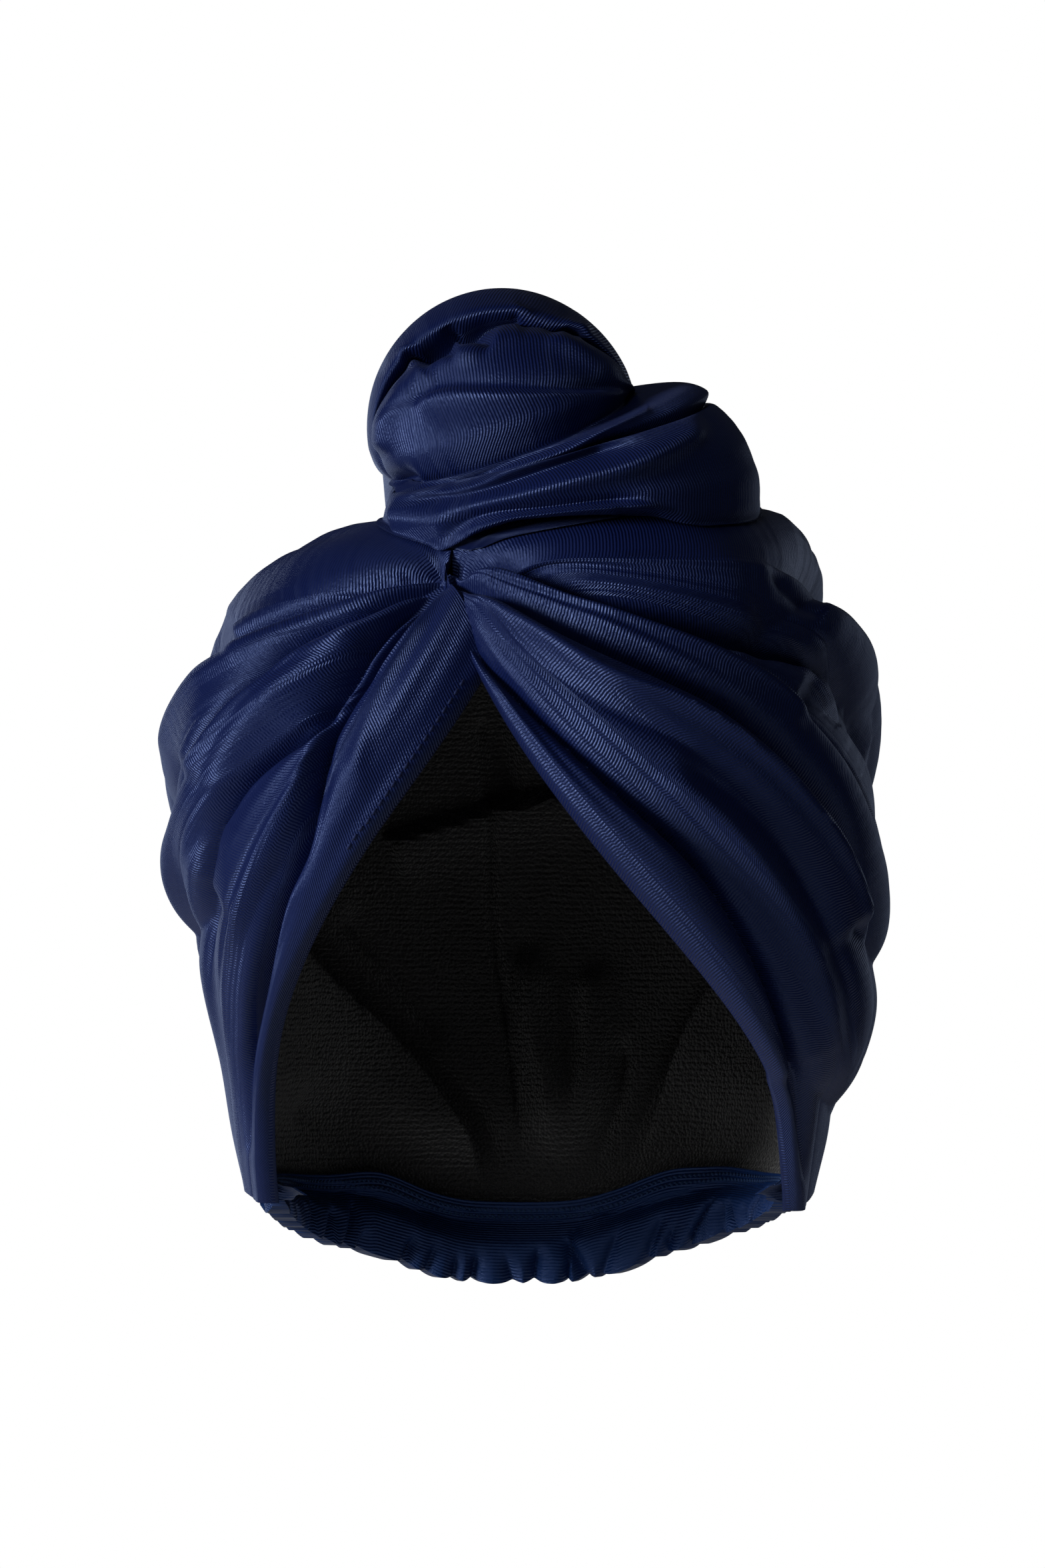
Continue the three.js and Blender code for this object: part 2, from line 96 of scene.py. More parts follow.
# Fold lines from the face opening to the seam down the back: where each starts, the two places it
# passes and its turn at the rim, then bulge (mm), lean, start and sharpness of the fold after it.
LINE_COLUMNS = "turn0 rise0 turn1 rise1 turn2 rise2 rim bulge lean start sharp"
LEFT_LINES = table(
    LINE_COLUMNS,
    (-5, 33, -24, 3, -46, -24, -72, 2.5, 0.5, 0, 0.8),
    (*KNOT, -29, 16, -51, -21, -79, 4, 0.6, 0, 0.7),
    (*KNOT, -34, 15, -62, -20, -88, 5, 0.5, 0.15, 0.8),
    (*KNOT, -43, 15, -84, -11, -108, 8, 0.5, 0.05, 0.75),
    (*KNOT, -56, 22, -104, -4, -124, 8, 0.5, 0, 0.65),
    (*KNOT, -76, 34, -124, 10, -143, 7, 0.45, 0, 0.65),
    (*KNOT, -124, 58, -150, 4, -162, 5, 0.5, 0.1, 0.8),
    (-16.9, 47, -179.6, 69, -179.6, 5, -179.6, 0, 0.5, 0, 1),
)
RIGHT_LINES = table(
    LINE_COLUMNS,
    (*KNOT, 6, 8, 36, -23.5, 75.5, 3, 0.5, 0, 0.8),
    (*KNOT, 12.5, 12, 46, -18, 82, 6, 0.7, 0, 0.75),
    (*KNOT, 30, 22, 70, -12, 93, 7, 0.6, 0, 0.65),
    (*KNOT, 44, 28, 92, -4, 114, 4, 0.5, 0.15, 0.75),
    (*KNOT, 62, 31, 112, 3, 135, 16, 0.4, 0, 0.6),
    (*KNOT, 66, 42, 124, 30, 152, 19, 0.35, 0, 0.6),
    (*KNOT, 96, 66, 152, 18, 167, 5, 0.5, 0, 0.8),
    (-16.6, 47, 179.6, 69, 179.6, 5, 179.6, 0, 0.5, 0, 1),
)
# A fold grows up to the first share of its length, sinks from the second on and keeps this much
# of its bulge at the rim. From the last share on, it stands out level.
RISE_SHARE, FALL_SHARE, RIM_BULGE, LEVEL_FROM = 0.34, 0.62, 0.22, 0.7
GROW_POWER = 0.8
FLAP = Named(along=(0.15, 0.5), folds=(2, 6))  # where a panel's lap at the knot ends

# ---- small maths

CREASE_POWER = 1.3


def mix(a, b, t):
    return a + (b - a) * t


def ease(value, start, end):
    t = np.clip((value - start) / (end - start), 0, 1)
    return t * t * (3 - 2 * t)


def unit(v):
    return v / np.linalg.norm(v, axis=-1, keepdims=True)


def direction(turn, rise):
    turn, rise = np.radians(turn), np.radians(rise)
    level = np.cos(rise)
    return np.stack([np.sin(turn) * level, -np.cos(turn) * level, np.sin(rise) + 0 * turn], -1)


def look_up(keys, values, place):
    """Smooth value at a place among keys and their values."""
    keys, values = np.asarray(keys, float), np.asarray(values, float)
    steps = np.diff(values) / np.diff(keys)
    slopes = np.concatenate([steps[:1], (values[2:] - values[:-2]) / (keys[2:] - keys[:-2]), steps[-1:]])
    at = np.clip(place, keys[0], keys[-1])
    k = np.clip(np.searchsorted(keys, at) - 1, 0, len(keys) - 2)
    span = keys[k + 1] - keys[k]
    t = (at - keys[k]) / span
    straight = mix(values[k], values[k + 1], t * t * (3 - 2 * t))
    return straight + t * (1 - t) * span * ((1 - t) * slopes[k] - t * slopes[k + 1])


def through(values, places):
    """Points of a smooth curve through values; whole places are the values themselves."""
    padded = np.concatenate([[2 * values[0] - values[1]], values, [2 * values[-1] - values[-2]]])
    k = np.clip(np.floor(places).astype(int), 0, len(values) - 2)
    t = (places - k)[:, None]
    a, b, c, d = (padded[k + n] for n in range(4))
    curved = (2 * a - 5 * b + 4 * c - d) * t ** 2 + (3 * b - a - 3 * c + d) * t ** 3
    return 0.5 * (2 * b + (c - a) * t + curved)


def crease_shape(off):
    """A sharp valley's profile, off being counted in its widths."""
    return np.exp(-np.abs(off) ** CREASE_POWER)


def lobe(across, lean):
    """0 to 1 and back to 0 over a fold; lean is how far across its crest lies."""
    half = np.where(across < lean, across / lean, 1 + (across - lean) / (1 - lean))
    return np.clip(np.sin(half * np.pi / 2), 0, 1)


def walked(points):
    """Distance passed at each point of a line."""
    return np.concatenate([[0], np.cumsum(np.linalg.norm(np.diff(points, axis=0), axis=1))])


# ---- the wrapped head

SEARCH = Named(farthest=220.0, halvings=24)


def level_radius(turn, z):
    side, ahead = np.sin(np.radians(turn)), np.cos(np.radians(turn))
    left, right, front, back = (
        look_up(column(HEAD_SECTIONS, "drop"), column(HEAD_SECTIONS, name), -z)
        for name in ("left", "right", "front", "back"))
    width, depth = np.where(side < 0, left, right), np.where(ahead > 0, front, back)
    total = (np.abs(side) / width) ** PLAN_POWER + (np.abs(ahead) / depth) ** PLAN_POWER
    return total ** (-1 / PLAN_POWER)


def head_radius(dirs):
    """Distance from the centre to the outside of the wrapped head."""
    turn = np.degrees(np.arctan2(dirs[..., 0], -dirs[..., 1]))
    level = np.hypot(dirs[..., 0], dirs[..., 1])
    inside, outside = np.zeros(turn.shape), np.full(turn.shape, SEARCH.farthest)
    for _ in range(SEARCH.halvings):
        r = (inside + outside) / 2
        z = r * dirs[..., 2]
        plan = r * level / level_radius(turn, z)
        dome = np.where(z > 0, (np.abs(z) / DOME_HEIGHT) ** DOME_POWER, 0)
        within = plan ** DOME_POWER + dome < 1
        inside, outside = np.where(within, r, inside), np.where(within, outside, r)
    return inside


def on_head(dirs):
    return dirs * head_radius(dirs)[..., None]


def rim_direction(turn):
    z = -RIM.drop - RIM.dip * ease(np.abs(turn), *RIM.dip_at)
    r = level_radius(turn, z)
    turn = np.radians(turn)
    return unit(np.stack([r * np.sin(turn), -r * np.cos(turn), z], -1))


# ---- fold lines and folds


def fold_at(lines, place):
    """The fold a place lies in, counted from the face opening, and how far across it."""
    k = np.clip(np.floor(place).astype(int), 0, len(lines) - 2)
    return k, place - k


def line_direction(lines, place, along):
    """Directions on the lines; along is 0 at the knot and 1 at the rim."""
    k, across = fold_at(lines, place)

    def at(name):
        values = column(lines, name)
        return mix(values[k], values[k + 1], across)

    points = [direction(at(f"turn{n}"), at(f"rise{n}")) for n in range(3)] + [rim_direction(at("rim"))]
    stations = np.linspace(0, 1, len(points))
    total = 0
    for n, point in enumerate(points):
        weight = np.ones_like(along)
        for station in np.delete(stations, n):
            weight = weight * (along - station) / (stations[n] - station)
        total = total + weight[..., None] * point
    return unit(total)


def fold_height(lines, place, along):
    k, across = fold_at(lines, place)
    bulge, lean, start, sharp = (column(lines, name)[k] for name in ("bulge", "lean", "start", "sharp"))
    grow = np.clip((along - start) / (RISE_SHARE - start), 0, 1) ** GROW_POWER
    fall = mix(1, RIM_BULGE, ease(along, FALL_SHARE, 1))
    return bulge * lobe(np.clip(across, 0, 1), lean) ** sharp * grow * fall


def swell_height(swell, place, along):
    grow = np.clip(along / RISE_SHARE, 0, 1) ** GROW_POWER
    return look_up(np.arange(len(swell)), swell, place) * grow


def outward(dirs, along):
    """Directions in which a fold stands out, level near the rim."""
    level = dirs.copy()
    level[..., 2] *= 1 - ease(along, LEVEL_FROM, 1)
    return unit(level)


def flap_share(place, along):
    return (1 - ease(place, *FLAP.folds)) * (1 - ease(along, *FLAP.along))


# Ridges (height above 0) and creases (below 0) along a panel, at places counted in folds.
LEFT_DETAILS = table(
    "at height width start end",
    ((4.3, 4.35, 4.4, 4.5), 1, 4, 0.05, 0.6),
    ((4.7, 4.6, 4.6, 4.6), -0.8, 3, 0.15, 0.7),
    ((5.5, 5.6, 5.5, 5.5), -1.4, 4, 0.1, 0.8),
    ((6.4, 6.4, 6.5, 6.5), 1.2, 5, 0.2, 0.9),
)
RIGHT_DETAILS = table(
    "at height width start end",
    ((0.3, 0.35, 0.4, 0.45), 1.4, 3, 0.03, 0.9),
    ((5.3, 5.4, 5.4, 5.4), 1, 5, 0.15, 0.7),
    ((5.75, 5.7, 5.7, 5.7), -1.2, 4, 0.25, 0.9),
    ((6.5, 6.5, 6.5, 6.5), 1.2, 5, 0.2, 0.9),
)
DETAIL_PLACES = (0, 0.33, 0.67, 1)  # where on the way to the rim they are at those places
DETAIL_FADE = Named(start=0.1, end=0.16)
WRINKLES = Named(count=14, height=0.16, waves=(0.9, 3.4), drift=(-1.2, 1.2), middle=(0.05, 0.75),
                 reach=(0.12, 0.35))


def detail_height(details, place, along, fold_width):
    total = 0 * along
    for row in details:
        middle = look_up(DETAIL_PLACES, row.at, along)
        off = (place - middle) * fold_width / row.width
        shape = np.exp(-off ** 2) if row.height > 0 else crease_shape(off)
        begin = ease(along, row.start, row.start + DETAIL_FADE.start)
        stop = 1 - ease(along, row.end - DETAIL_FADE.end, row.end)
        total = total + row.height * shape * begin * stop
    return total


def wrinkle_height(place, along, seed):
    """Fine pleats that run with the folds and come and go along them."""
    random = np.random.default_rng(seed)
    total = 0 * along
    for _ in range(WRINKLES.count):
        waves, drift = random.uniform(*WRINKLES.waves), random.uniform(*WRINKLES.drift)
        phase = random.uniform(0, 2 * np.pi)
        middle, reach = random.uniform(*WRINKLES.middle), random.uniform(*WRINKLES.reach)
        swell = np.exp(-((along - middle) / reach) ** 2)
        total = total + np.sin(2 * np.pi * (waves * place + drift * along) + phase) * swell
    return WRINKLES.height * total


# ---- folds drawn in the front view

LINE_PIECES = 5  # straight pieces to a step of a smooth line
LIP = Named(step=1.2, furrow=0.4, narrow=2.5, power=1.2)  # its step (mm) and the furrow at its foot


def fold(height, width, *points, begin=0.12, end=0.8, lip=False):
    """A round ridge, or a sharp crease if height is below 0, drawn in the front view (mm about the
    middle of the wrap). From begin to end, in shares of its length, it is full."""
    return Named(height=height, width=width, points=points, begin=begin, end=end, lip=lip)


def lip(*values, **fade):
    """A layer's edge, raised below its line."""
    return fold(*values, lip=True, **fade)


def smoothed(line):
    line = np.array(line, float)
    return through(line, np.linspace(0, len(line) - 1, (len(line) - 1) * LINE_PIECES + 1))


def front_view(points):
    return points[..., [0, 2]] - [0, FRAME_LIFT]


def beside(points, line):
    """Distance from a smooth line, which side of it (1 above) and the share of it passed."""
    line = smoothed(line)
    best = np.full(points.shape[:-1], 1e9)
    side, share, done = 0 * best, 0 * best, 0.0
    lengths = np.diff(walked(line))
    for a, b, length in zip(line[:-1], line[1:], lengths):
        step = (b - a) / length
        off = points - a
        t = np.clip(off @ step, 0, length)
        gap = np.linalg.norm(off - t[..., None] * step, axis=-1)
        near = gap < best
        best = np.where(near, gap, best)
        side = np.where(near, np.sign(step[0] * off[..., 1] - step[1] * off[..., 0]), side)
        share = np.where(near, (done + t) / lengths.sum(), share)
        done += length
    return best, side * np.sign(line[-1][0] - line[0][0]), share


def relief(points, folds):
    """Height that folds add at points."""
    view = front_view(points)
    total = 0 * points[..., 0]
    for row in folds:
        off, side, share = beside(view, row.points)
        off = off / row.width
        if row.lip:
            raised = ease(-off * side * row.width, -LIP.step, 2 * LIP.step)
            furrow = LIP.furrow * np.exp(-(LIP.narrow * off) ** LIP.power)
            shape = mix(-furrow, np.exp(-off ** 2), raised)
        else:
            shape = np.exp(-off ** 2) if row.height > 0 else crease_shape(off)
        taper = ease(share, 0, row.begin) * (1 - ease(share, row.end, 1))
        total = total + row.height * shape * taper
    return total


# ---- meshes


def arc_lengths(points, axis):
    """Distance along an axis of a grid of points."""
    steps = np.linalg.norm(np.diff(points, axis=axis), axis=-1)
    pad = [(0, 0), (0, 0)]
    pad[axis] = (1, 0)
    return np.pad(np.cumsum(steps, axis=axis), pad)


def cloth_places(points):
    """UV places (mm) of a grid of points."""
    return np.stack([arc_lengths(points, 1), arc_lengths(points, 0)], -1).reshape(-1, 2)


def add_mesh(name, points, faces, uv, material, sharp=50):
    mesh = bpy.data.meshes.new(name)
    mesh.from_pydata(((points + HEAD_CENTRE) / 1000).tolist(), [], [list(face) for face in faces])
    layer = mesh.uv_layers.new(name="UVMap")
    corners = np.empty(len(mesh.loops), int)
    mesh.loops.foreach_get("vertex_index", corners)
    layer.data.foreach_set("uv", (uv[corners] / 1000).ravel())
    mesh.shade_smooth()
    mesh.set_sharp_from_angle(angle=math.radians(sharp))
    mesh.materials.append(material)
    piece = bpy.data.objects.new(name, mesh)
    bpy.context.collection.objects.link(piece)
    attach(piece, "root")
    return piece


def grid_faces(columns, rows):
    first = np.arange(columns - 1)[:, None] * rows + np.arange(rows - 1)
    return np.stack([first, first + 1, first + rows + 1, first + rows], -1).reshape(-1, 4)


def tube_faces(rings, sides):
    i = np.arange(rings - 1)[:, None] * sides
    j = np.arange(sides)
    after = (j + 1) % sides
    return np.stack([i + j, i + after, i + sides + after, i + sides + j], -1).reshape(-1, 4)


def wall_faces(columns, rows):
    """Faces of two grids and of the edges that join them."""
    skin = columns * rows
    outer = grid_faces(columns, rows)
    n = np.arange(skin).reshape(columns, rows)
    rim = np.concatenate([n[0, :-1], n[:-1, -1], n[-1, :0:-1], n[:0:-1, 0]])
    after = np.roll(rim, -1)
    edges = np.stack([after, rim, rim + skin, after + skin], -1)
    return np.concatenate([outer, outer[:, ::-1] + skin, edges])


def facing_out(points, faces):
    """The faces, turned over if they look inwards."""
    a, b, c, d = (points[faces[:, n]] for n in range(4))
    volume = np.sum(a * np.cross(b, c)) + np.sum(a * np.cross(c, d))
    return faces if volume > 0 else faces[:, ::-1]


def add_wall(name, outer, inner, material):
    columns, rows = outer.shape[:2]
    uv = cloth_places(outer)
    points = np.concatenate([outer.reshape(-1, 3), inner.reshape(-1, 3)])
    faces = facing_out(points, wall_faces(columns, rows))
    return add_mesh(name, points, faces, np.concatenate([uv, uv]), material)


# ---- panels

# Creases of a panel in the front view, from the opening's edge outwards and from the knot on. Up
# to each the cloth rolls out by bulge (mm), and lean is how far across its crest lies.
LEFT_CREASES = table(
    "bulge lean points",
    # edge roll
    (4.5, 0.7, ((-23, 56.5), (-31, 48.5), (-38, 39.5), (-44.5, 30), (-50, 21.5), (-55.5, 11), (-59, -4),
     (-62, -18), (-69, -36), (-75, -58), (-80, -82), (-82, -106))),
    # kinked roll
    (6.5, 0.35, ((-24, 57), (-33, 50), (-41, 41), (-48, 31), (-53.5, 23), (-59, 15), (-68, 8.6), (-77, 1),
     (-83, -7), (-88, -16), (-91, -32), (-92, -58), (-90, -85), (-86, -110))),
    # body fold
    (10, 0.78, ((-24, 58), (-34, 53.5), (-46, 46), (-55, 42), (-64, 36.6), (-72, 30.5), (-81, 24),
     (-88, 16), (-94, 8), (-99, 0), (-103, -9), (-106, -20), (-107, -34))),
    # band fold
    (8, 0.7, ((-24, 60.5), (-34, 58), (-50, 52.5), (-68, 46.5), (-86, 40), (-96, 35.5), (-104, 24))),
)
RIGHT_CREASES = table(
    "bulge lean points",
    # edge roll
    (6, 0.45, ((-20, 54), (-13, 37), (-3, 25), (8, 14), (26.5, -3), (47, -21), (61, -40), (72, -62),
     (80, -86), (84, -112))),
    # long roll
    (10, 0.82, ((-20, 57), (-13, 51.5), (-4, 46.5), (8, 40), (22, 34), (38, 27.5), (55, 19.5), (72, 6),
     (87, -11), (96, -29), (102, -46), (103, -66), (98, -88))),
    # wide band
    (8, 0.8, ((-17, 58.5), (-5, 57.5), (4, 53.5), (15, 49), (30, 44), (46, 39), (60, 33.5), (71, 27.5),
     (83, 17), (93, 4), (101, -12), (107, -30))),
    # wedge
    (3, 0.5, ((-21, 61), (-13, 60.8), (-5, 59.3), (4, 55.8), (15, 51), (30, 46), (46, 42), (62, 38.5),
     (79, 37), (94, 35), (103, 29))),
)
FRONT_FADE = (-68, -12)  # the rolls give way to the side folds between these y
# A roll has a slow and a steep side (powers of its crest) and is lower if narrower than width.
# Away from the front edge rolls stand out by lift; above the last crease the cloth steps up.
ROLL = Named(slow=0.95, steep=0.6, width=9.0, tuck=4.0, tuck_width=1.7, lift=2.6, lifted=(2, 12),
             over_rise=3.0)
# Smaller ridges and creases over the rolls.
LEFT_FOLDS = [
    fold(2, 2.2, (-54, 19), (-58, 10), (-62, -2), (-68, -14), (-76, -32), (-82, -52), begin=0.1),
    fold(-2, 3, (-40, 34), (-54, 17), (-55, -2), (-58, -16), (-66, -34)),
    fold(1.5, 3.5, (-42, 42), (-56, 31), (-69, 21), (-80, 8), (-87, -6), (-91, -22)),
    fold(-1.2, 3, (-48, 44.5), (-62, 33), (-76, 20), (-87, 4), (-93, -12)),
    fold(1.2, 2.5, (-27, 48), (-34, 36), (-41, 22), (-45, 8), (-46, -6)),
    fold(-1.2, 2.5, (-66, -20), (-74, -36), (-80, -56), (-83, -80)),
]
RIGHT_FOLDS = [
    fold(1.6, 1.8, (-17, 56.5), (-5, 55), (4, 51), (16, 46), (31, 41.5), (47, 36), (61, 30), (72, 23),
         (84, 12), begin=0.05, end=0.85),
    fold(-6, 4, (66, 60), (75, 57), (82, 54), (88, 50), begin=0.4, end=0.98),
    fold(-4, 4, (72, 38), (86, 35), (95, 31), (101, 20), begin=0.3, end=0.98),
    fold(2.6, 2, (-17, 50), (1, 38.5), (21, 26.5), (43, 19), (63, 7), (77, -7), (91, -29), (99, -53),
         begin=0.05, end=0.9),
    fold(-3.5, 4, (-14, 44), (2, 32), (20, 20), (40, 11), (58, -1), (70, -14), (81, -34), (87, -54)),
    fold(2, 3, (34, 2), (50, -8), (64, -22), (76, -40), (84, -60), (88, -84)),
    fold(-2.5, 3.5, (40, 6), (56, -4), (70, -18), (82, -38), (90, -60), (92, -86)),
    fold(1.5, 4, (10, 46), (34, 36), (56, 25), (74, 12), (88, -4), (98, -24)),
]
# Valleys that run out over the side of a panel and notch its outline.
LEFT_NOTCHES = [
    fold(-5, 6, (-80, 42), (-96, 36), (-118, 28)),
    fold(-5, 6, (-92, 6), (-104, -11), (-122, -30)),
    fold(-4, 6, (-84, -30), (-97, -46), (-116, -64)),
]
RIGHT_NOTCHES = [
    fold(-6, 8, (60, 36), (84, 51), (108, 64)),
    fold(-6, 8, (76, 26), (101, 16), (124, 8)),
    fold(-5, 7, (88, -38), (107, -56), (126, -72)),
    fold(-3, 7, (76, -82), (92, -96), (110, -108)),
]
NOTCH = Named(level=15, slope=0.9, fade=(25, 80))  # they slant down behind level (y), then fade
# Columns to a fold at the front and behind, and rows, which crowd at the knot.
PANEL_GRID = Named(front_folds=5, in_front=35, behind=14, rows=230, spread=1.15)
PANEL_LOWEST = -0.8  # a crease stops short of the lining
NARROW = Named(details=9, drawn=5)  # folds narrower than this (mm) carry less of these
# The turned hem along a panel's front edge stands out by roll and turns in over the lining.
HEM = Named(width=5, roll=0.9, turn_in=3.9, round=2.4)
CORNER = Named(width=15, start=0.86)  # a panel's front corner hangs below the rim
# In mm: the swell at each fold line, under the rolls, the step up over the last crease, how far the
# panel stands off where it laps and how far its corner hangs.
LEFT = Named(node="left_panel", lines=LEFT_LINES, details=LEFT_DETAILS, drawn=LEFT_FOLDS,
             creases=LEFT_CREASES, notches=LEFT_NOTCHES, swell=(1, 1, 1.5, 2, 4, 5, 4, 0), over=5,
             flap=0, corner=4, seed=7)
RIGHT = Named(node="right_panel", lines=RIGHT_LINES, details=RIGHT_DETAILS, drawn=RIGHT_FOLDS,
              creases=RIGHT_CREASES, notches=RIGHT_NOTCHES, swell=(1, 1, 1.5, 3, 10, 17, 9, 0), over=7,
              flap=4.2, corner=6.5, seed=8)


def notch_depth(points, notches):
    leaning = points.copy()
    leaning[..., 2] += NOTCH.slope * np.maximum(points[..., 1] - NOTCH.level, 0)
    return relief(leaning, notches) * (1 - ease(points[..., 1], *NOTCH.fade))


def rolls_height(points, panel, from_edge):
    """Rolls between the panel's creases; the last crease is the foot of the cloth above it."""
    view = front_view(points)
    inner, total = from_edge, ROLL.lift * ease(from_edge, *ROLL.lifted)
    for row in panel.creases:
        gap, side, _ = beside(view, row.points)
        outer = gap * side
        width = np.maximum(inner - outer, 1e-6)
        t = np.clip(inner / width, 0, 1)
        crest = lobe(t, row.lean) ** np.where(t < row.lean, ROLL.slow, ROLL.steep)
        between = (inner > 0) & (outer < 0)
        total = total + np.where(between, row.bulge * crest * (1 - np.exp(-width / ROLL.width)), 0)
        total = total - ROLL.tuck * crease_shape(gap / ROLL.tuck_width)
        inner = outer
    return total + panel.over * (1 - np.exp(-np.maximum(inner, 0) / ROLL.over_rise))


def panel_height(panel, base, out, place, along, columns):
    """Height of a panel's cloth over the head, without its hem."""
    fold_width = np.linalg.norm(np.gradient(base, columns, axis=0), axis=-1)
    fine = np.clip(fold_width / NARROW.details, 0, 1)
    sides = fold_height(panel.lines, place, along)
    sides = sides + detail_height(panel.details, place, along, fold_width) * fine
    ahead = swell_height(panel.swell, place, along)
    seen = base + out * ahead[..., None]
    ahead = ahead + rolls_height(seen, panel, arc_lengths(base, 0))
    ahead = ahead + relief(seen, panel.drawn) * np.clip(fold_width / NARROW.drawn, 0, 1)
    height = mix(ahead, sides, ease(base[..., 1], *FRONT_FADE))
    height = height + notch_depth(base, panel.notches) + panel.flap * flap_share(place, along)
    return np.maximum(height + wrinkle_height(place, along, panel.seed) * fine, PANEL_LOWEST)


def panel_skins(panel):
    """Points of a panel's outside and of its inside."""
    split, folds = PANEL_GRID.front_folds, len(panel.lines) - 1
    front = np.linspace(0, split, split * PANEL_GRID.in_front + 1)
    back = np.linspace(split, folds, (folds - split) * PANEL_GRID.behind + 1)
    columns = np.concatenate([front, back[1:]])
    share = np.linspace(0, 1, PANEL_GRID.rows + 1)[None, :]
    along = mix(KNOT_END, 1, share ** PANEL_GRID.spread) + 0 * columns[:, None]
    place = columns[:, None] + 0 * along
    dirs = line_direction(panel.lines, place, along)
    base = on_head(dirs)
    out = outward(dirs, along)
    height = panel_height(panel, base, out, place, along, columns)
    from_edge = arc_lengths(base, 0)
    hem = np.exp(-((from_edge / HEM.width) ** 4))
    rounded = HEM.round * (1 - np.sqrt(1 - np.clip(1 - from_edge / HEM.round, 0, 1) ** 2))
    height = height + HEM.roll * hem
    inside = height - SATIN - HEM.turn_in * hem + rounded
    skins = [base + out * level[..., None] for level in (height - rounded, inside)]
    hang = np.exp(-((from_edge / CORNER.width) ** 2)) * ease(along, CORNER.start, 1)
    for skin in skins:
        skin[..., 2] -= panel.corner * hang
    return skins


def add_panel(panel):
    outer, inner = panel_skins(panel)
    piece = add_wall(panel.node + "_cloth", outer, inner, SATIN_CLOTH)
    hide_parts(panel.node)
    return outer


# ---- bun and tail

# Rings of the bun: middle, half width and half depth (mm), tilt in the front view and how far the
# ring is laid back. A ring lower than the one before it folds the cloth over.
BUN_RINGS = table(
    "x y z wide deep tilt laid",
    (-10, -44, 83, 18, 26, -6, 0),  # knot
    (4, -43, 92, 38, 31, -2, 0),  # foot
    (13, -38, 98, 43, 31, 3, 3),  # tuck two
    (14, -38, 93.5, 52, 39, 1, 5),  # edge two
    (14.5, -38, 98, 56, 42.5, 3, 2),  # coil two low
    (14, -38, 107, 56, 42.5, 7, -3),  # coil two
    (11.5, -38, 115, 53.5, 41, 12, -5),  # coil two high
    (8, -37, 120, 50, 39, 15, -6),  # lip two
    (8, -36, 116.5, 45, 33, 15, -6),  # tuck one
    (8, -36, 121.5, 49.5, 37, 17.5, -7),  # coil one
    (4, -35, 124, 46, 36.5, 19, -9),  # coil one top
    (-3, -34, 121.5, 40.5, 36, 21, -12),  # lip one
    (-4, -33, 121, 37.5, 32, 20, -8),  # tuck lobe
    (-5, -32, 125, 38.5, 34, 17, 2),  # facet low
    (-5, -31, 131, 39, 33, 9, 14),  # facet high
    (-5, -27, 131.5, 37.5, 32, 8, 38),  # lobe
    (-5, -20, 130, 36, 29, 6, 60),  # lobe top
    (-5, -12, 129, 35, 28, 6, 70),  # hood tuck
    (-5.5, -18, 128, 38.5, 35, 5, 74),  # hood lip
    (-6, -8, 127.5, 40.5, 40, 4, 84),  # hood
    (-6, 8, 127.5, 39.5, 40.5, 3, 90),  # hood back
)
# Rings of the tail, by how far each lies round from the head's top to the back.
TAIL_RINGS = table(
    "over wide deep",
    (22, 37, 31),
    (45, 34, 25),
    (70, 30, 19),
    (92, 26, 15),
    (112, 19, 11),
    (121, 13, 8),
    (124.5, 7, 5),
)
# Ridges, creases and lips drawn over the bun, as on the panels.
BUN_FOLDS = [
    fold(2.5, 3, (-42, 97), (-41, 107), (-37, 114), (-27, 124), (-16, 128.5), (-6, 133), (5, 134),
         (14, 130), (24, 124), (31, 119), begin=0.05, end=0.9),
    fold(-5.4, 3, (-31, 125), (-24, 129), (-18, 129)),
    fold(-4.7, 2.5, (-20, 133), (-15, 133), (-8, 130)),
    fold(1.2, 2.2, (-31, 124), (-34, 128), (-36, 131), begin=0.1),
    fold(1.2, 2.2, (-19, 130), (-21, 133), (-23, 137), begin=0.1),
    fold(1.2, 2.4, (-1, 137), (0, 140), (1, 143), begin=0.1),
    fold(1.2, 2.4, (14, 133), (17, 135), (20, 138), begin=0.1),
    fold(-3.8, 3, (-2, 138), (6, 138), (12, 134)),
    lip(3.8, 10, (-34, 112), (-24, 117), (-10, 117), (5, 116.5), (20, 116.5), (33, 118)),
    lip(4.7, 5, (-42, 88), (-33, 88), (-22, 88), (-13, 90), (-4, 94), (11, 99.5), (20, 105), (28, 110),
        (35, 116), begin=0.05, end=0.95),
    fold(-7, 3.6, (-36, 84.5), (-22, 84.5), (-8, 87.5), (6, 92), (20, 96.5), (36, 102), begin=0.15),
    fold(-6, 4, (-30, 90), (-37, 89), (-52, 88), begin=0.3),
    fold(5, 4.5, (-40, 80.5), (-28, 80.5), (-16, 82), (-4, 85), (6, 88), (20, 92), (34, 96), (46, 102),
         (55, 109), begin=0.05, end=0.9),
    fold(3.5, 2, (-33, 69), (-24, 73.5), (-12, 76.5), (4, 77.5), (22, 79), (38, 80), (46, 77),
         begin=0.05),
    fold(-3.5, 2, (-24, 77), (-10, 80), (6, 81), (24, 83), (38, 84)),
    fold(-4.7, 3, (26, 76), (36, 75), (46, 72)),
]
BUN_FADE = Named(facing=(-0.3, 0.15), along=(0.72, 0.8))  # they show in front, and not on the tail
TAIL = Named(side=-6, clear=1, rest=0.9)  # its x, and its room over the head and the panels
RING_SIDES, RINGS_BETWEEN = 220, 12
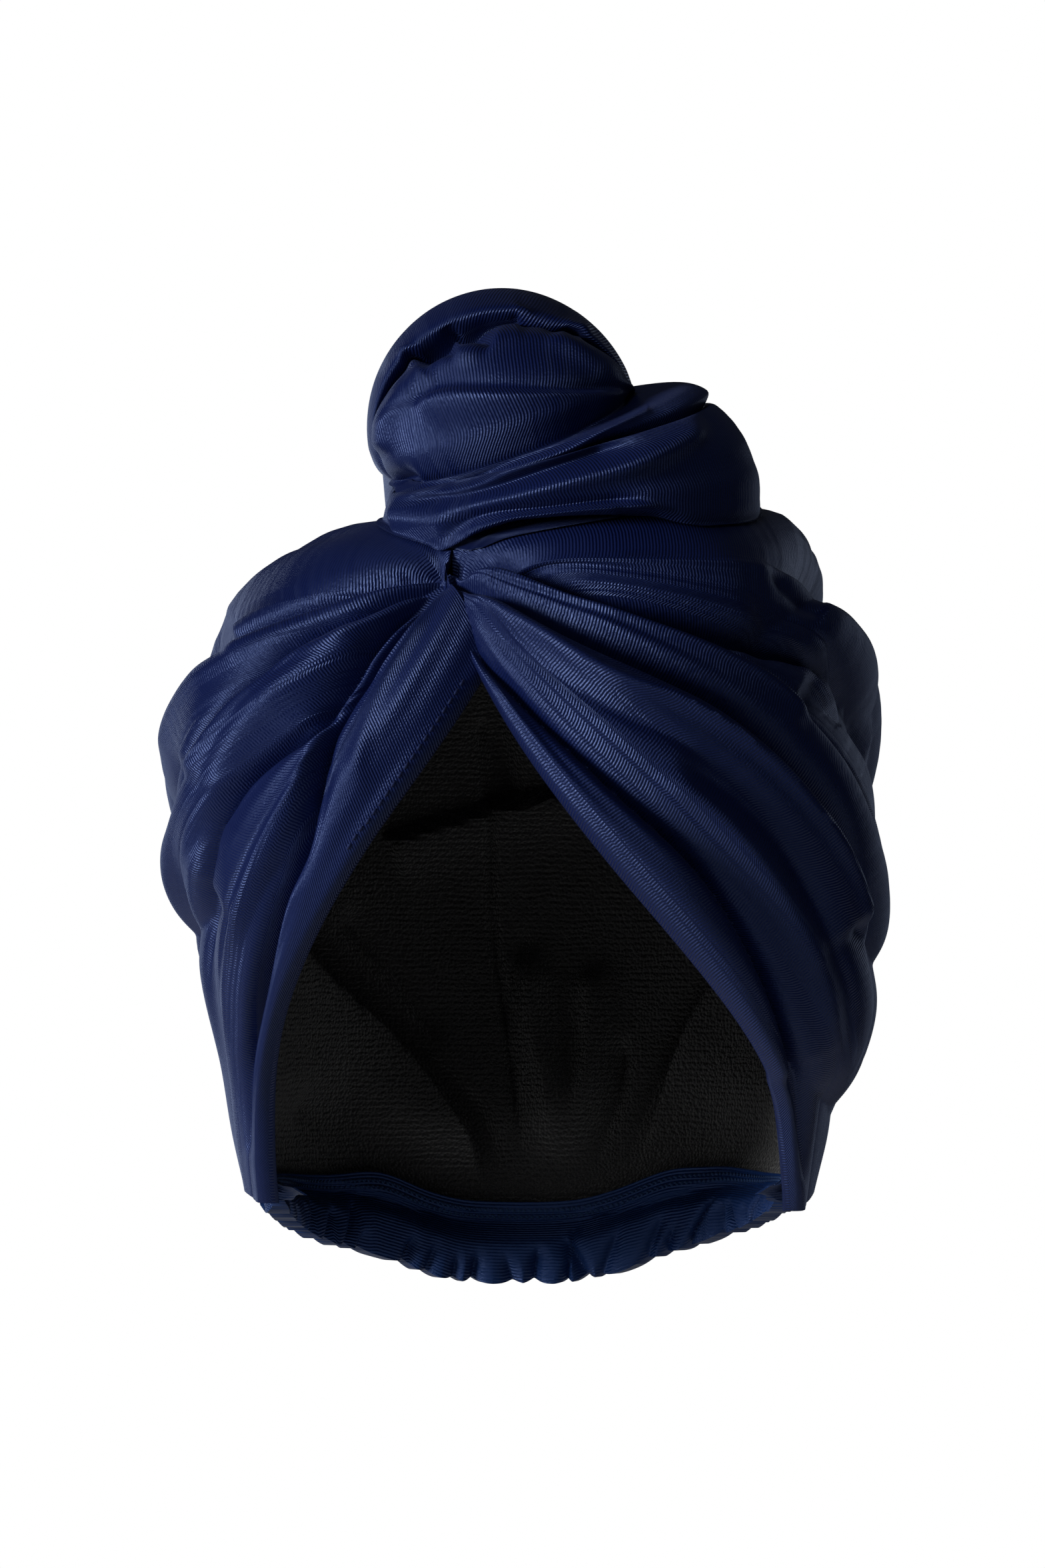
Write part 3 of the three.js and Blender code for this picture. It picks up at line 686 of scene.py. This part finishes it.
# Strands wound into the tail; depth is a share of its size, level their mean height.
TWIST = Named(count=5, turns=1.1, depth=0.11, start=0.72, fade=0.08, sharp=0.7, level=0.6)
COIL_PLEATS = Named(count=8, height=0.08, waves=(0.5, 1.6), drift=(-0.5, 0.5), gathered=3, seed=21)
RAY_START = 400.0  # beyond every surface

# How far the lower edge of coil two is lifted at each x, which rings follow it, and how far in
# front it fades in.
COIL_TWO_EDGE = Named(
    x=(-44, -36, -24, -12, 0, 38, 46, 52, 60, 68),
    lift=(-2, -7, -7, -2, 1, 2, -1, -3.5, -2, 0),
)
COIL_TWO = Named(ring=3.2, reach=1.1, front=(28, 46))


def coil_two_lift(points, places):
    lift = look_up(COIL_TWO_EDGE.x, COIL_TWO_EDGE.lift, points[..., 0])
    front = ease(-points[..., 1], *COIL_TWO.front)
    return lift * front * np.exp(-((places - COIL_TWO.ring) / COIL_TWO.reach) ** 2)


def bun_frame(row):
    tilt, laid = math.radians(row.tilt), math.radians(row.laid)
    across = np.array([math.cos(tilt), 0, math.sin(tilt)])
    up = np.array([-across[2], 0, across[0]])
    ahead = up * math.sin(laid) + np.array([0, -math.cos(laid), 0])
    return np.array([row.x, row.y, row.z]), across * row.wide, ahead * row.deep


def tail_frame(row):
    over = math.radians(row.over)
    out = np.array([0, math.sin(over), math.cos(over)])
    middle = out * (head_radius(out[None])[0] + TAIL.clear + row.deep)
    middle[0] = TAIL.side
    return middle, np.array([row.wide, 0, 0]), out * row.deep


def coil_pleats(angle, ring):
    """Fine pleats along the coils."""
    random = np.random.default_rng(COIL_PLEATS.seed)
    total = 0 * angle + 0 * ring
    for _ in range(COIL_PLEATS.count):
        waves, drift = random.uniform(*COIL_PLEATS.waves), random.uniform(*COIL_PLEATS.drift)
        phase, middle = random.uniform(0, 2 * np.pi), random.uniform(0, 2 * np.pi)
        swell = np.exp(-COIL_PLEATS.gathered * np.sin((angle - middle) / 2) ** 2)
        total = total + np.sin(2 * np.pi * waves * ring + drift * angle + phase) * swell
    return COIL_PLEATS.height * total


def wound_grid():
    """Points of the bun and tail, ring by ring."""
    frames = [bun_frame(row) for row in BUN_RINGS] + [tail_frame(row) for row in TAIL_RINGS]
    steps = len(frames) - 1
    places = np.linspace(0, steps, steps * RINGS_BETWEEN + 1)
    middle, across, ahead = (through(np.array([f[n] for f in frames]), places) for n in range(3))
    along = (places / steps)[:, None]
    angle = np.linspace(0, 2 * np.pi, RING_SIDES, endpoint=False)[None, :]
    phase = TWIST.count * (angle + along * TWIST.turns * 2 * np.pi) / 2
    wound = ease(along, TWIST.start, TWIST.start + TWIST.fade)
    size = 1 + TWIST.depth * wound * (np.abs(np.cos(phase)) ** TWIST.sharp - TWIST.level)
    reach = np.linalg.norm(across, axis=-1)[:, None]
    size = size + coil_pleats(angle, places[:, None]) / reach
    out = across[:, None] * np.cos(angle)[..., None] + ahead[:, None] * np.sin(angle)[..., None]
    points = middle[:, None] + out * size[..., None]
    drawn = relief(points, BUN_FOLDS) * ease(-unit(out)[..., 1], *BUN_FADE.facing)
    drawn = drawn * (1 - ease(along, *BUN_FADE.along))
    points = points + unit(out) * drawn[..., None]
    points[..., 2] += coil_two_lift(points, places[:, None])
    return points


def lifted_off(points, covers):
    """Points moved away from the head's centre until they clear the covers."""
    flat = points.reshape(-1, 3).copy()
    rays = unit(flat)
    for tree in covers:
        for n, ray in enumerate(rays):
            hit = tree.ray_cast(Vector(ray * RAY_START), Vector(-ray), RAY_START)[3]
            if hit is not None and np.dot(flat[n], ray) < RAY_START - hit + TAIL.rest:
                flat[n] = ray * (RAY_START - hit + TAIL.rest)
    return flat.reshape(points.shape)


def add_tail(covers):
    points = lifted_off(wound_grid(), covers)
    rings, sides = points.shape[:2]
    flat = np.concatenate([points.reshape(-1, 3), [points[0].mean(0), points[-1].mean(0)]])
    foot, tip, last = rings * sides, rings * sides + 1, (rings - 1) * sides
    faces = tube_faces(rings, sides)[:, ::-1].tolist()
    faces += [[foot, n, (n + 1) % sides] for n in range(sides)]
    faces += [[tip, last + (n + 1) % sides, last + n] for n in range(sides)]
    uv = np.concatenate([cloth_places(points), np.zeros((2, 2))])
    piece = add_mesh("twisted_tail_cloth", flat, faces, uv, SATIN_CLOTH, sharp=180)
    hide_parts("twisted_tail")


# ---- terry lining

LINING_SLACK = 7.0  # the lining hangs this far inside the panels at the back
LINING_BACK = 6.5  # it starts this far behind the panels' front edges,
FARTHEST_START = 1.5  # but by the middle of their second folds
LINING_GRID = Named(columns=320, rows=150, crowd=0.5)  # columns crowd at the back
# Slack and folds fade in over these y and shares of the way from the knot, and out at the rim.
LINING_FADE = Named(y=(-10, 20), knot=(0, 0.2), rim=(0.93, 0.985))
# Folds on the lining's back, as it shows through the face opening.
LINING_FOLDS = [
    fold(-5, 1.4, (-11, 12), (-10, -45), (-6, -72), (-3, -95), (2, -125)),
    fold(-3, 2, (2, -46), (-1, -58), (-5, -68), (-6, -80)),
    fold(9, 7, (2, -50), (4, -78), (10, -98), (14, -128), begin=0.2),
    fold(-10, 3, (-76, -46), (-56, -66), (-40, -80), (-24, -95), (-14, -106), (-6, -134), begin=0.02,
         end=0.98),
    lip(9, 18, (-86, -48), (-66, -64), (-46, -80), (-28, -98), (-16, -112), (-12, -134), begin=0.02,
        end=0.98),
    fold(-7, 3, (-78, -96), (-66, -104), (-58, -114), (-50, -130)),
    fold(-5, 4, (-62, -40), (-48, -54), (-34, -72), (-26, -84)),
    lip(7, 14, (80, -44), (66, -60), (54, -80), (44, -100), (33, -132), begin=0.02, end=0.98),
    fold(-14, 2.2, (70, -54), (60, -66), (50, -84), (42, -100), (31, -130), begin=0.05),
    fold(-8, 3, (34, -78), (32, -94), (26, -110), (22, -128)),
    fold(8, 6, (24, -56), (25, -84), (16, -124)),
    fold(5, 5, (44, -104), (48, -116), (62, -122)),
    fold(-1.2, 2.4, (4, -57), (18, -60), (30, -62)),
    lip(7, 14, (-48, -16), (-30, -10), (-12, -5), (4, -1), (26, 4), begin=0.02, end=0.98),
    fold(-16, 3.5, (-10, 24), (-8, 10), (-6, -4), begin=0.02, end=0.95),
]


def behind_edge(lines, share, along):
    """Places on the fold lines, the first a set distance behind the front edge."""
    edge, inner = line_direction(lines, 0 * along, along), line_direction(lines, 0 * along + 0.5, along)
    width = 2 * np.linalg.norm((inner - edge) * head_radius(edge)[..., None], axis=-1)
    start = np.minimum(LINING_BACK / np.maximum(width, 0.1), FARTHEST_START)
    return start + share * (len(lines) - 1 - start)


def lining_grid(offset):
    even = np.linspace(0, 1, LINING_GRID.columns + 1)[:, None]
    share = even + LINING_GRID.crowd * np.sin(2 * np.pi * even) / (2 * np.pi)
    along = mix(2 * KNOT_END, 1, np.linspace(0, 1, LINING_GRID.rows + 1))[None, :] + 0 * share
    share = share + 0 * along
    halves = []
    for lines, part in ((LEFT_LINES, 2 * share), (RIGHT_LINES, 2 - 2 * share)):
        places = behind_edge(lines, np.minimum(part, 1), along)
        halves.append(line_direction(lines, places, along))
    dirs = np.where((share < 0.5)[..., None], *halves)
    base = on_head(dirs)
    inward = (LINING_SLACK + relief(base, LINING_FOLDS)) * ease(base[..., 1], *LINING_FADE.y)
    inward = np.maximum(inward, 0) * ease(along, *LINING_FADE.knot)
    inward = inward * (1 - ease(along, *LINING_FADE.rim))
    return base + outward(dirs, along) * (offset - inward)[..., None]


def add_lining():
    outside = -SATIN - CLOTH_GAP
    inner = lining_grid(outside - TERRY)
    piece = add_wall("terry_lining_cloth", lining_grid(outside), inner, TERRY_CLOTH)
    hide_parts("terry_lining")


# ---- nape band

# Its height at the corners and at the back, and how far its lower edge tucks in.
BAND = Named(corner_tall=5, back_tall=19, grows=(0.3, 0.98), tuck=4, columns=700, rows=22)
# Its two sides: the share of the gathers each shows, and how far each lies inside the rim, where
# the band laps over the lining's edge and at its ends.
INSIDE = Named(ripple=1, depth=5.0, lap=7.6, end=8.6)
OUTSIDE = Named(ripple=0.4, depth=0.8, lap=6.6, end=7.6)
BAND_LAP = Named(up=3.5, fade=(-1.0, 1.5))  # it laps up by this, and over down to these depths
BAND_END = Named(fade=(0.015, 0.07), short=0.7)  # it is flat at its ends, and shorter by this share
BAND_SEAM = Named(step=0.9, half=0.04)  # the step at the flat strip's foot
BAND_STRIP = 0.26  # share of its height taken by the flat seamed strip
# How far its top edge is lifted at each x; half of it reaches the lower edge.
BAND_TOP = Named(
    x=(-80, -65, -47, -30, -12, 12, 30, 48, 62, 80),
    lift=(0, -1, 3.5, 1.5, 0, 0, 2, 4, 2, 0),
)
# The gathers; a valley's middle, width and lean are in shares of the distance between two.
PUCKERS = Named(count=32, height=4.6, hang=2.6, puff=1.4, round=0.7, middle=(-0.45, 0.45),
                width=(0.12, 0.3), lean=(-1.8, 1.8), start=(-0.05, 0.4), deep=(0.5, 1),
                valley_grows=0.3, lobes_grow=0.25, seed=5)


def pucker(share, down):
    """Lobes (0 to 1) between leaning valleys that deepen downwards."""
    random = np.random.default_rng(PUCKERS.seed)
    valley = 0 * share
    for n in range(PUCKERS.count):
        middle = (n + 0.5 + random.uniform(*PUCKERS.middle)) / PUCKERS.count
        width = random.uniform(*PUCKERS.width) / PUCKERS.count
        lean = random.uniform(*PUCKERS.lean) / PUCKERS.count
        start = BAND_STRIP + random.uniform(*PUCKERS.start)
        deep = random.uniform(*PUCKERS.deep) * ease(down, start, start + PUCKERS.valley_grows)
        off = (share - middle - lean * (down - 1)) / width
        valley = np.maximum(valley, deep * crease_shape(off))
    return ease(down, BAND_STRIP, BAND_STRIP + PUCKERS.lobes_grow) * (1 - valley)


def puff(down):
    below = np.clip((down - BAND_STRIP) / (1 - BAND_STRIP), 0, 1)
    return PUCKERS.puff * np.sin(np.pi * below) ** PUCKERS.round


def band_grid(side):
    """Points of the band's inside or outside, along its length and down."""
    share = np.linspace(0, 1, BAND.columns + 1)[:, None]
    down = np.linspace(0, 1, BAND.rows + 1)[None, :] + 0 * share
    share = share + 0 * down
    turn = mix(LEFT_LINES[0].rim, RIGHT_LINES[0].rim - 360, share)
    rim = on_head(rim_direction(np.where(turn > -180, turn, turn + 360)))
    end = 1 - ease(np.minimum(share, 1 - share), *BAND_END.fade)
    folded = pucker(share, down)
    tall = mix(BAND.corner_tall, BAND.back_tall, ease(np.sin(share * np.pi), *BAND.grows))
    drop = mix(BAND_LAP.up, -tall, down) * (1 - BAND_END.short * end)
    drop = drop + look_up(BAND_TOP.x, BAND_TOP.lift, rim[..., 0]) * mix(1, 0.5, down)
    drop = drop - PUCKERS.hang * folded * down * (1 - end)
    lap = 1 - ease(-drop, *BAND_LAP.fade)
    step = ease(down, BAND_STRIP - BAND_SEAM.half, BAND_STRIP + BAND_SEAM.half) * (1 - lap)
    depth = mix(mix(side.depth - BAND_SEAM.step * step, side.lap, lap), side.end, end)
    wave = side.ripple * (PUCKERS.height * folded + puff(down)) * (1 - end)
    inward = depth + wave + down * BAND.tuck
    points = rim - direction(turn, 0) * inward[..., None]
    points[..., 2] += drop
    return points


def add_band():
    inner = band_grid(INSIDE)
    piece = add_wall("nape_band_cloth", inner, band_grid(OUTSIDE), BAND_CLOTH)
    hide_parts("nape_band")
    return inner


# ---- stitches

# A stitch's half width and half thickness, and the share of them at its ends.
THREAD = Named(wide=0.45, thick=0.28, ends=0.15, lift=0.1, arch=0.25, rings=5, sides=6)
HEM_STITCH = Named(inset=5.5, length=2.3, gap=1.0, down=(0.10, 0.45))
# The band's rows of stitches, each between two shares of the flat strip's height.
BAND_STITCH = Named(step=1.7, lean=0.9, ends=8, rows=((0.30, 0.50), (0.62, 0.82)))


def add_stitches(name, start, end, out, material):
    """One piece of stitches, each a flattened bead from start to end."""
    t = np.linspace(0, np.pi, THREAD.rings)
    angle = np.linspace(0, 2 * np.pi, THREAD.sides, endpoint=False)
    side = unit(np.cross(end - start, out))
    middle = mix(start[:, None], end[:, None], ((1 - np.cos(t)) / 2)[None, :, None])
    middle = middle + out[:, None] * (THREAD.lift + THREAD.arch * np.sin(t))[None, :, None]
    size = np.maximum(np.sin(t) ** 0.5, THREAD.ends)[None, :, None, None]
    ring = side[:, None, None] * (THREAD.wide * np.cos(angle))[None, None, :, None]
    ring = ring + out[:, None, None] * (THREAD.thick * np.sin(angle))[None, None, :, None]
    points = (middle[:, :, None] + ring * size).reshape(-1, 3)
    first = list(range(THREAD.sides))
    per_bead = THREAD.rings * THREAD.sides
    caps = [first[::-1], [per_bead - THREAD.sides + n for n in first]]
    bead = tube_faces(THREAD.rings, THREAD.sides).tolist() + caps
    faces = [[n + shift for n in face] for shift in range(0, len(points), per_bead) for face in bead]
    return add_mesh(name, points, faces, points[:, :2], material)


def along_row(points, out, length, gap):
    """Start, end and outward direction of each stitch along a row of points."""
    passed = walked(points)
    starts = np.arange(0, passed[-1] - length, length + gap)

    def place(values, at):
        return np.stack([np.interp(at, passed, values[:, n]) for n in range(3)], -1)

    return place(points, starts), place(points, starts + length), unit(place(out, starts))


def add_hem_stitches(skin):
    first, last = (int(skin.shape[1] * share) for share in HEM_STITCH.down)
    j = np.arange(first, last)
    from_edge = arc_lengths(skin, 0)
    i = np.array([np.searchsorted(from_edge[:, row], HEM_STITCH.inset) for row in j])
    line = skin[i, j]
    out = unit(np.cross(skin[i + 1, j] - skin[i - 1, j], skin[i, j + 1] - skin[i, j - 1]))
    out = out * np.sign(np.sum(out * line, -1, keepdims=True))
    start, end, up = along_row(line, out, HEM_STITCH.length, HEM_STITCH.gap)
    piece = add_stitches("hem_stitches", start, end, up, HEM_THREAD)


def add_band_stitches(skin):
    """Two rows of leaning stitches on the inside of the band's flat strip."""
    strip = BAND_STRIP * BAND.rows
    starts, ends, ups = [], [], []
    for high, low in BAND_STITCH.rows:
        upper, lower = (skin[:, round(share * strip)] for share in (high, low))
        passed = walked(upper)
        places = np.arange(BAND_STITCH.ends, passed[-1] - BAND_STITCH.ends, BAND_STITCH.step)
        k = np.searchsorted(passed, places)
        starts.append(upper[k])
        ends.append(lower[np.searchsorted(passed, places + BAND_STITCH.lean)])
        ups.append(unit(-upper[k] * [1, 1, 0]))
    start, end, up = (np.concatenate(rows) for rows in (starts, ends, ups))
    piece = add_stitches("band_stitches", start, end, up, BAND_THREAD)


# ---- materials

# Metres from rib to rib and from row to row, and their depths beside the grain's and the tufts'.
RIB_PITCH, RIB_DEPTH = 0.0010, 0.5
TERRY_ROW, TERRY_DEPTH = 0.0018, 0.17
TERRY_LOOPS = 1000.0  # loops in a metre
TERRY_WAVER = 9.0  # how far the rows waver, in radians
SATIN_TINT = (0.34, 0.48, 0.98, 1)


def settings(inputs, **values):
    """Set sockets by name, with _ for a space."""
    for name, value in values.items():
        inputs[name.replace("_", " ")].default_value = value


def new_material(name, colour, roughness, **values):
    material = bpy.data.materials.new(name)
    material.use_nodes = True
    shader = material.node_tree.nodes["Principled BSDF"]
    settings(shader.inputs, Base_Color=(*colour, 1), Roughness=roughness, **values)
    return material, shader


def node(owner, kind, **values):
    made = owner.node_tree.nodes.new("ShaderNode" + kind)
    settings(made.inputs, **values)
    return made


def join(owner, source, target):
    owner.node_tree.links.new(source, target)


def maths(material, operation, a, b=None):
    made = node(material, "Math")
    made.operation = operation
    for n, value in enumerate((a, b)):
        if isinstance(value, (int, float)):
            made.inputs[n].default_value = value
        elif value is not None:
            join(material, value, made.inputs[n])
    return made.outputs[0]


def mottled_material(name, dark, light, scale, roughness, **values):
    """A material whose colour drifts between two colours over the piece."""
    material, shader = new_material(name, light, roughness, **values)
    place = node(material, "TexCoord")
    noise = node(material, "TexNoise", Scale=scale, Detail=3.0, Roughness=0.55)
    blend = node(material, "Mix")
    blend.data_type = "RGBA"
    settings(blend.inputs, A=(*dark, 1), B=(*light, 1))
    join(material, place.outputs["Object"], noise.inputs["Vector"])
    join(material, noise.outputs["Fac"], blend.inputs["Factor"])
    join(material, blend.outputs["Result"], shader.inputs["Base Color"])
    return material, shader


def bumped(material, shader, height, strength, distance):
    bump = node(material, "Bump", Strength=strength, Distance=distance)
    join(material, height, bump.inputs["Height"])
    join(material, bump.outputs["Normal"], shader.inputs["Normal"])


def satin_material(name, dark, light):
    """Tricot satin: ribs across the folds, a brushed sheen along them."""
    material, shader = mottled_material(
        name, dark, light, scale=22, roughness=0.42, Specular_IOR_Level=0.85, Specular_Tint=SATIN_TINT,
        Anisotropic=0.5, Sheen_Weight=0.05, Sheen_Roughness=0.35, Sheen_Tint=(0.35, 0.42, 0.75, 1))
    uv = node(material, "UVMap")
    split = node(material, "SeparateXYZ")
    grain = node(material, "TexNoise", Scale=1400.0, Detail=2.0)
    tangent = node(material, "Tangent")
    tangent.direction_type = "UV_MAP"
    uv.uv_map = tangent.uv_map = "UVMap"
    join(material, uv.outputs["UV"], split.inputs["Vector"])
    join(material, uv.outputs["UV"], grain.inputs["Vector"])
    turns = maths(material, "MULTIPLY", split.outputs["X"], 2 * math.pi / RIB_PITCH)
    ribs = maths(material, "MULTIPLY", maths(material, "SINE", turns), RIB_DEPTH)
    height = maths(material, "ADD", ribs, grain.outputs["Fac"])
    bumped(material, shader, height, strength=0.65, distance=0.0003)
    join(material, tangent.outputs["Tangent"], shader.inputs["Tangent"])
    return material


def terry_material():
    """Looped pile in wavering rows of tufts."""
    material, shader = mottled_material(
        "terry", (0.033, 0.033, 0.0336), (0.062, 0.062, 0.0632), scale=60, roughness=1.0,
        Specular_IOR_Level=0.25, Sheen_Weight=0.25, Sheen_Roughness=0.6)
    place = node(material, "TexCoord").outputs["Object"]
    tufts = node(material, "TexVoronoi", Scale=TERRY_LOOPS, Randomness=0.8)
    waver = node(material, "TexNoise", Scale=70.0, Detail=2.0)
    split = node(material, "SeparateXYZ")
    for made in (tufts, waver, split):
        join(material, place, made.inputs["Vector"])
    turns = maths(material, "MULTIPLY", split.outputs["Z"], 2 * math.pi / TERRY_ROW)
    turns = maths(material, "ADD", turns, maths(material, "MULTIPLY", waver.outputs["Fac"], TERRY_WAVER))
    row = maths(material, "MULTIPLY", maths(material, "SINE", turns), TERRY_DEPTH)
    height = maths(material, "SUBTRACT", row, tufts.outputs["Distance"])
    bumped(material, shader, height, strength=1.0, distance=0.0014)
    return material


def thread_material(name, colour):
    dark = tuple(0.7 * c for c in colour)
    return mottled_material(name, dark, colour, scale=900, roughness=0.65, Specular_Tint=SATIN_TINT,
                            Sheen_Weight=0.1)[0]


def plastic_material():
    return mottled_material("button_plastic", (0.008, 0.010, 0.024), (0.013, 0.016, 0.036), scale=300,
                            roughness=0.42)[0]


SATIN_CLOTH = satin_material("satin", (0.0035, 0.0078, 0.052), (0.0052, 0.0115, 0.074))
BAND_CLOTH = satin_material("band_satin", (0.002, 0.015, 0.072), (0.0035, 0.023, 0.105))
TERRY_CLOTH = terry_material()
HEM_THREAD = thread_material("thread", (0.006, 0.011, 0.06))
BAND_THREAD = thread_material("band_thread", (0.016, 0.045, 0.13))
BUTTON_PLASTIC = plastic_material()

# ---- assembly


def tree_of(points):
    return BVHTree.FromPolygons(points.reshape(-1, 3).tolist(), grid_faces(*points.shape[:2]).tolist())


left_skin = add_panel(LEFT)
right_skin = add_panel(RIGHT)
add_lining()
band_skin = add_band()
add_hem_stitches(left_skin)
add_band_stitches(band_skin)
add_tail([tree_of(left_skin), tree_of(right_skin)])
bpy.data.objects["tail_button"].material_slots[0].material = BUTTON_PLASTIC

# ---- floor, light and camera

FLOOR_GAP = 0.12  # metres
VIEW_DISTANCE, VIEW_HEIGHT = 4.0, -0.0771
FRAME_TALL = 0.4704  # what the photograph's frame takes in at the wrap
SENSOR = 36.0  # mm
COOL = (0.6, 0.72, 1)


def add_floor():
    low = CAD_BOX[0].z - FLOOR_GAP
    bpy.ops.mesh.primitive_circle_add(vertices=96, radius=0.6, fill_type="NGON", location=(0, 0, low))
    floor = bpy.context.object
    floor.name = "floor"
    floor.data.materials.append(new_material("pale_floor", (0.8, 0.8, 0.79), roughness=0.7)[0])


def add_light(name, place, size, power, colour=(1, 1, 1)):
    light = bpy.data.lights.new(name, "AREA")
    light.shape = "DISK"
    light.size = size
    light.energy = power
    light.color = colour
    lamp = bpy.data.objects.new(name, light)
    lamp.location = place
    aim = Vector((0, 0, VIEW_HEIGHT)) - lamp.location
    lamp.rotation_euler = aim.to_track_quat("-Z", "Y").to_euler()
    bpy.context.collection.objects.link(lamp)


def add_world():
    """White to the camera, softer on the cloth."""
    world = bpy.data.worlds.new("studio")
    bpy.context.scene.world = world
    world.use_nodes = True
    nodes = world.node_tree.nodes
    seen = nodes["Background"]
    settings(seen.inputs, Color=(1, 1, 1, 1))
    glow = node(world, "Background", Color=(0.9, 0.95, 1, 1), Strength=0.025)
    path = node(world, "LightPath")
    blend = node(world, "MixShader")
    join(world, path.outputs["Is Camera Ray"], blend.inputs["Fac"])
    join(world, glow.outputs[0], blend.inputs[1])
    join(world, seen.outputs[0], blend.inputs[2])
    join(world, blend.outputs[0], nodes["World Output"].inputs["Surface"])


def add_camera():
    camera = bpy.data.cameras.new("camera")
    camera.sensor_width = SENSOR
    camera.lens = SENSOR * VIEW_DISTANCE / FRAME_TALL
    camera.clip_end = 50
    eye = bpy.data.objects.new("camera", camera)
    eye.location = (0, -VIEW_DISTANCE, VIEW_HEIGHT)
    eye.rotation_euler = (math.radians(90), 0, 0)
    bpy.context.collection.objects.link(eye)
    bpy.context.scene.camera = eye


add_floor()
add_world()
add_light("key", (-2.35, -1.25, 0.35), size=0.8, power=62)
add_light("fill", (-0.5, -2.0, 1.5), size=0.9, power=6.8)
add_light("back", (-0.8, 2.3, -0.1), size=1.2, power=5, colour=COOL)
add_light("side", (1.1, 2.2, -0.1), size=1.2, power=1.6, colour=COOL)
add_camera()
bpy.context.scene.view_settings.view_transform = "Standard"
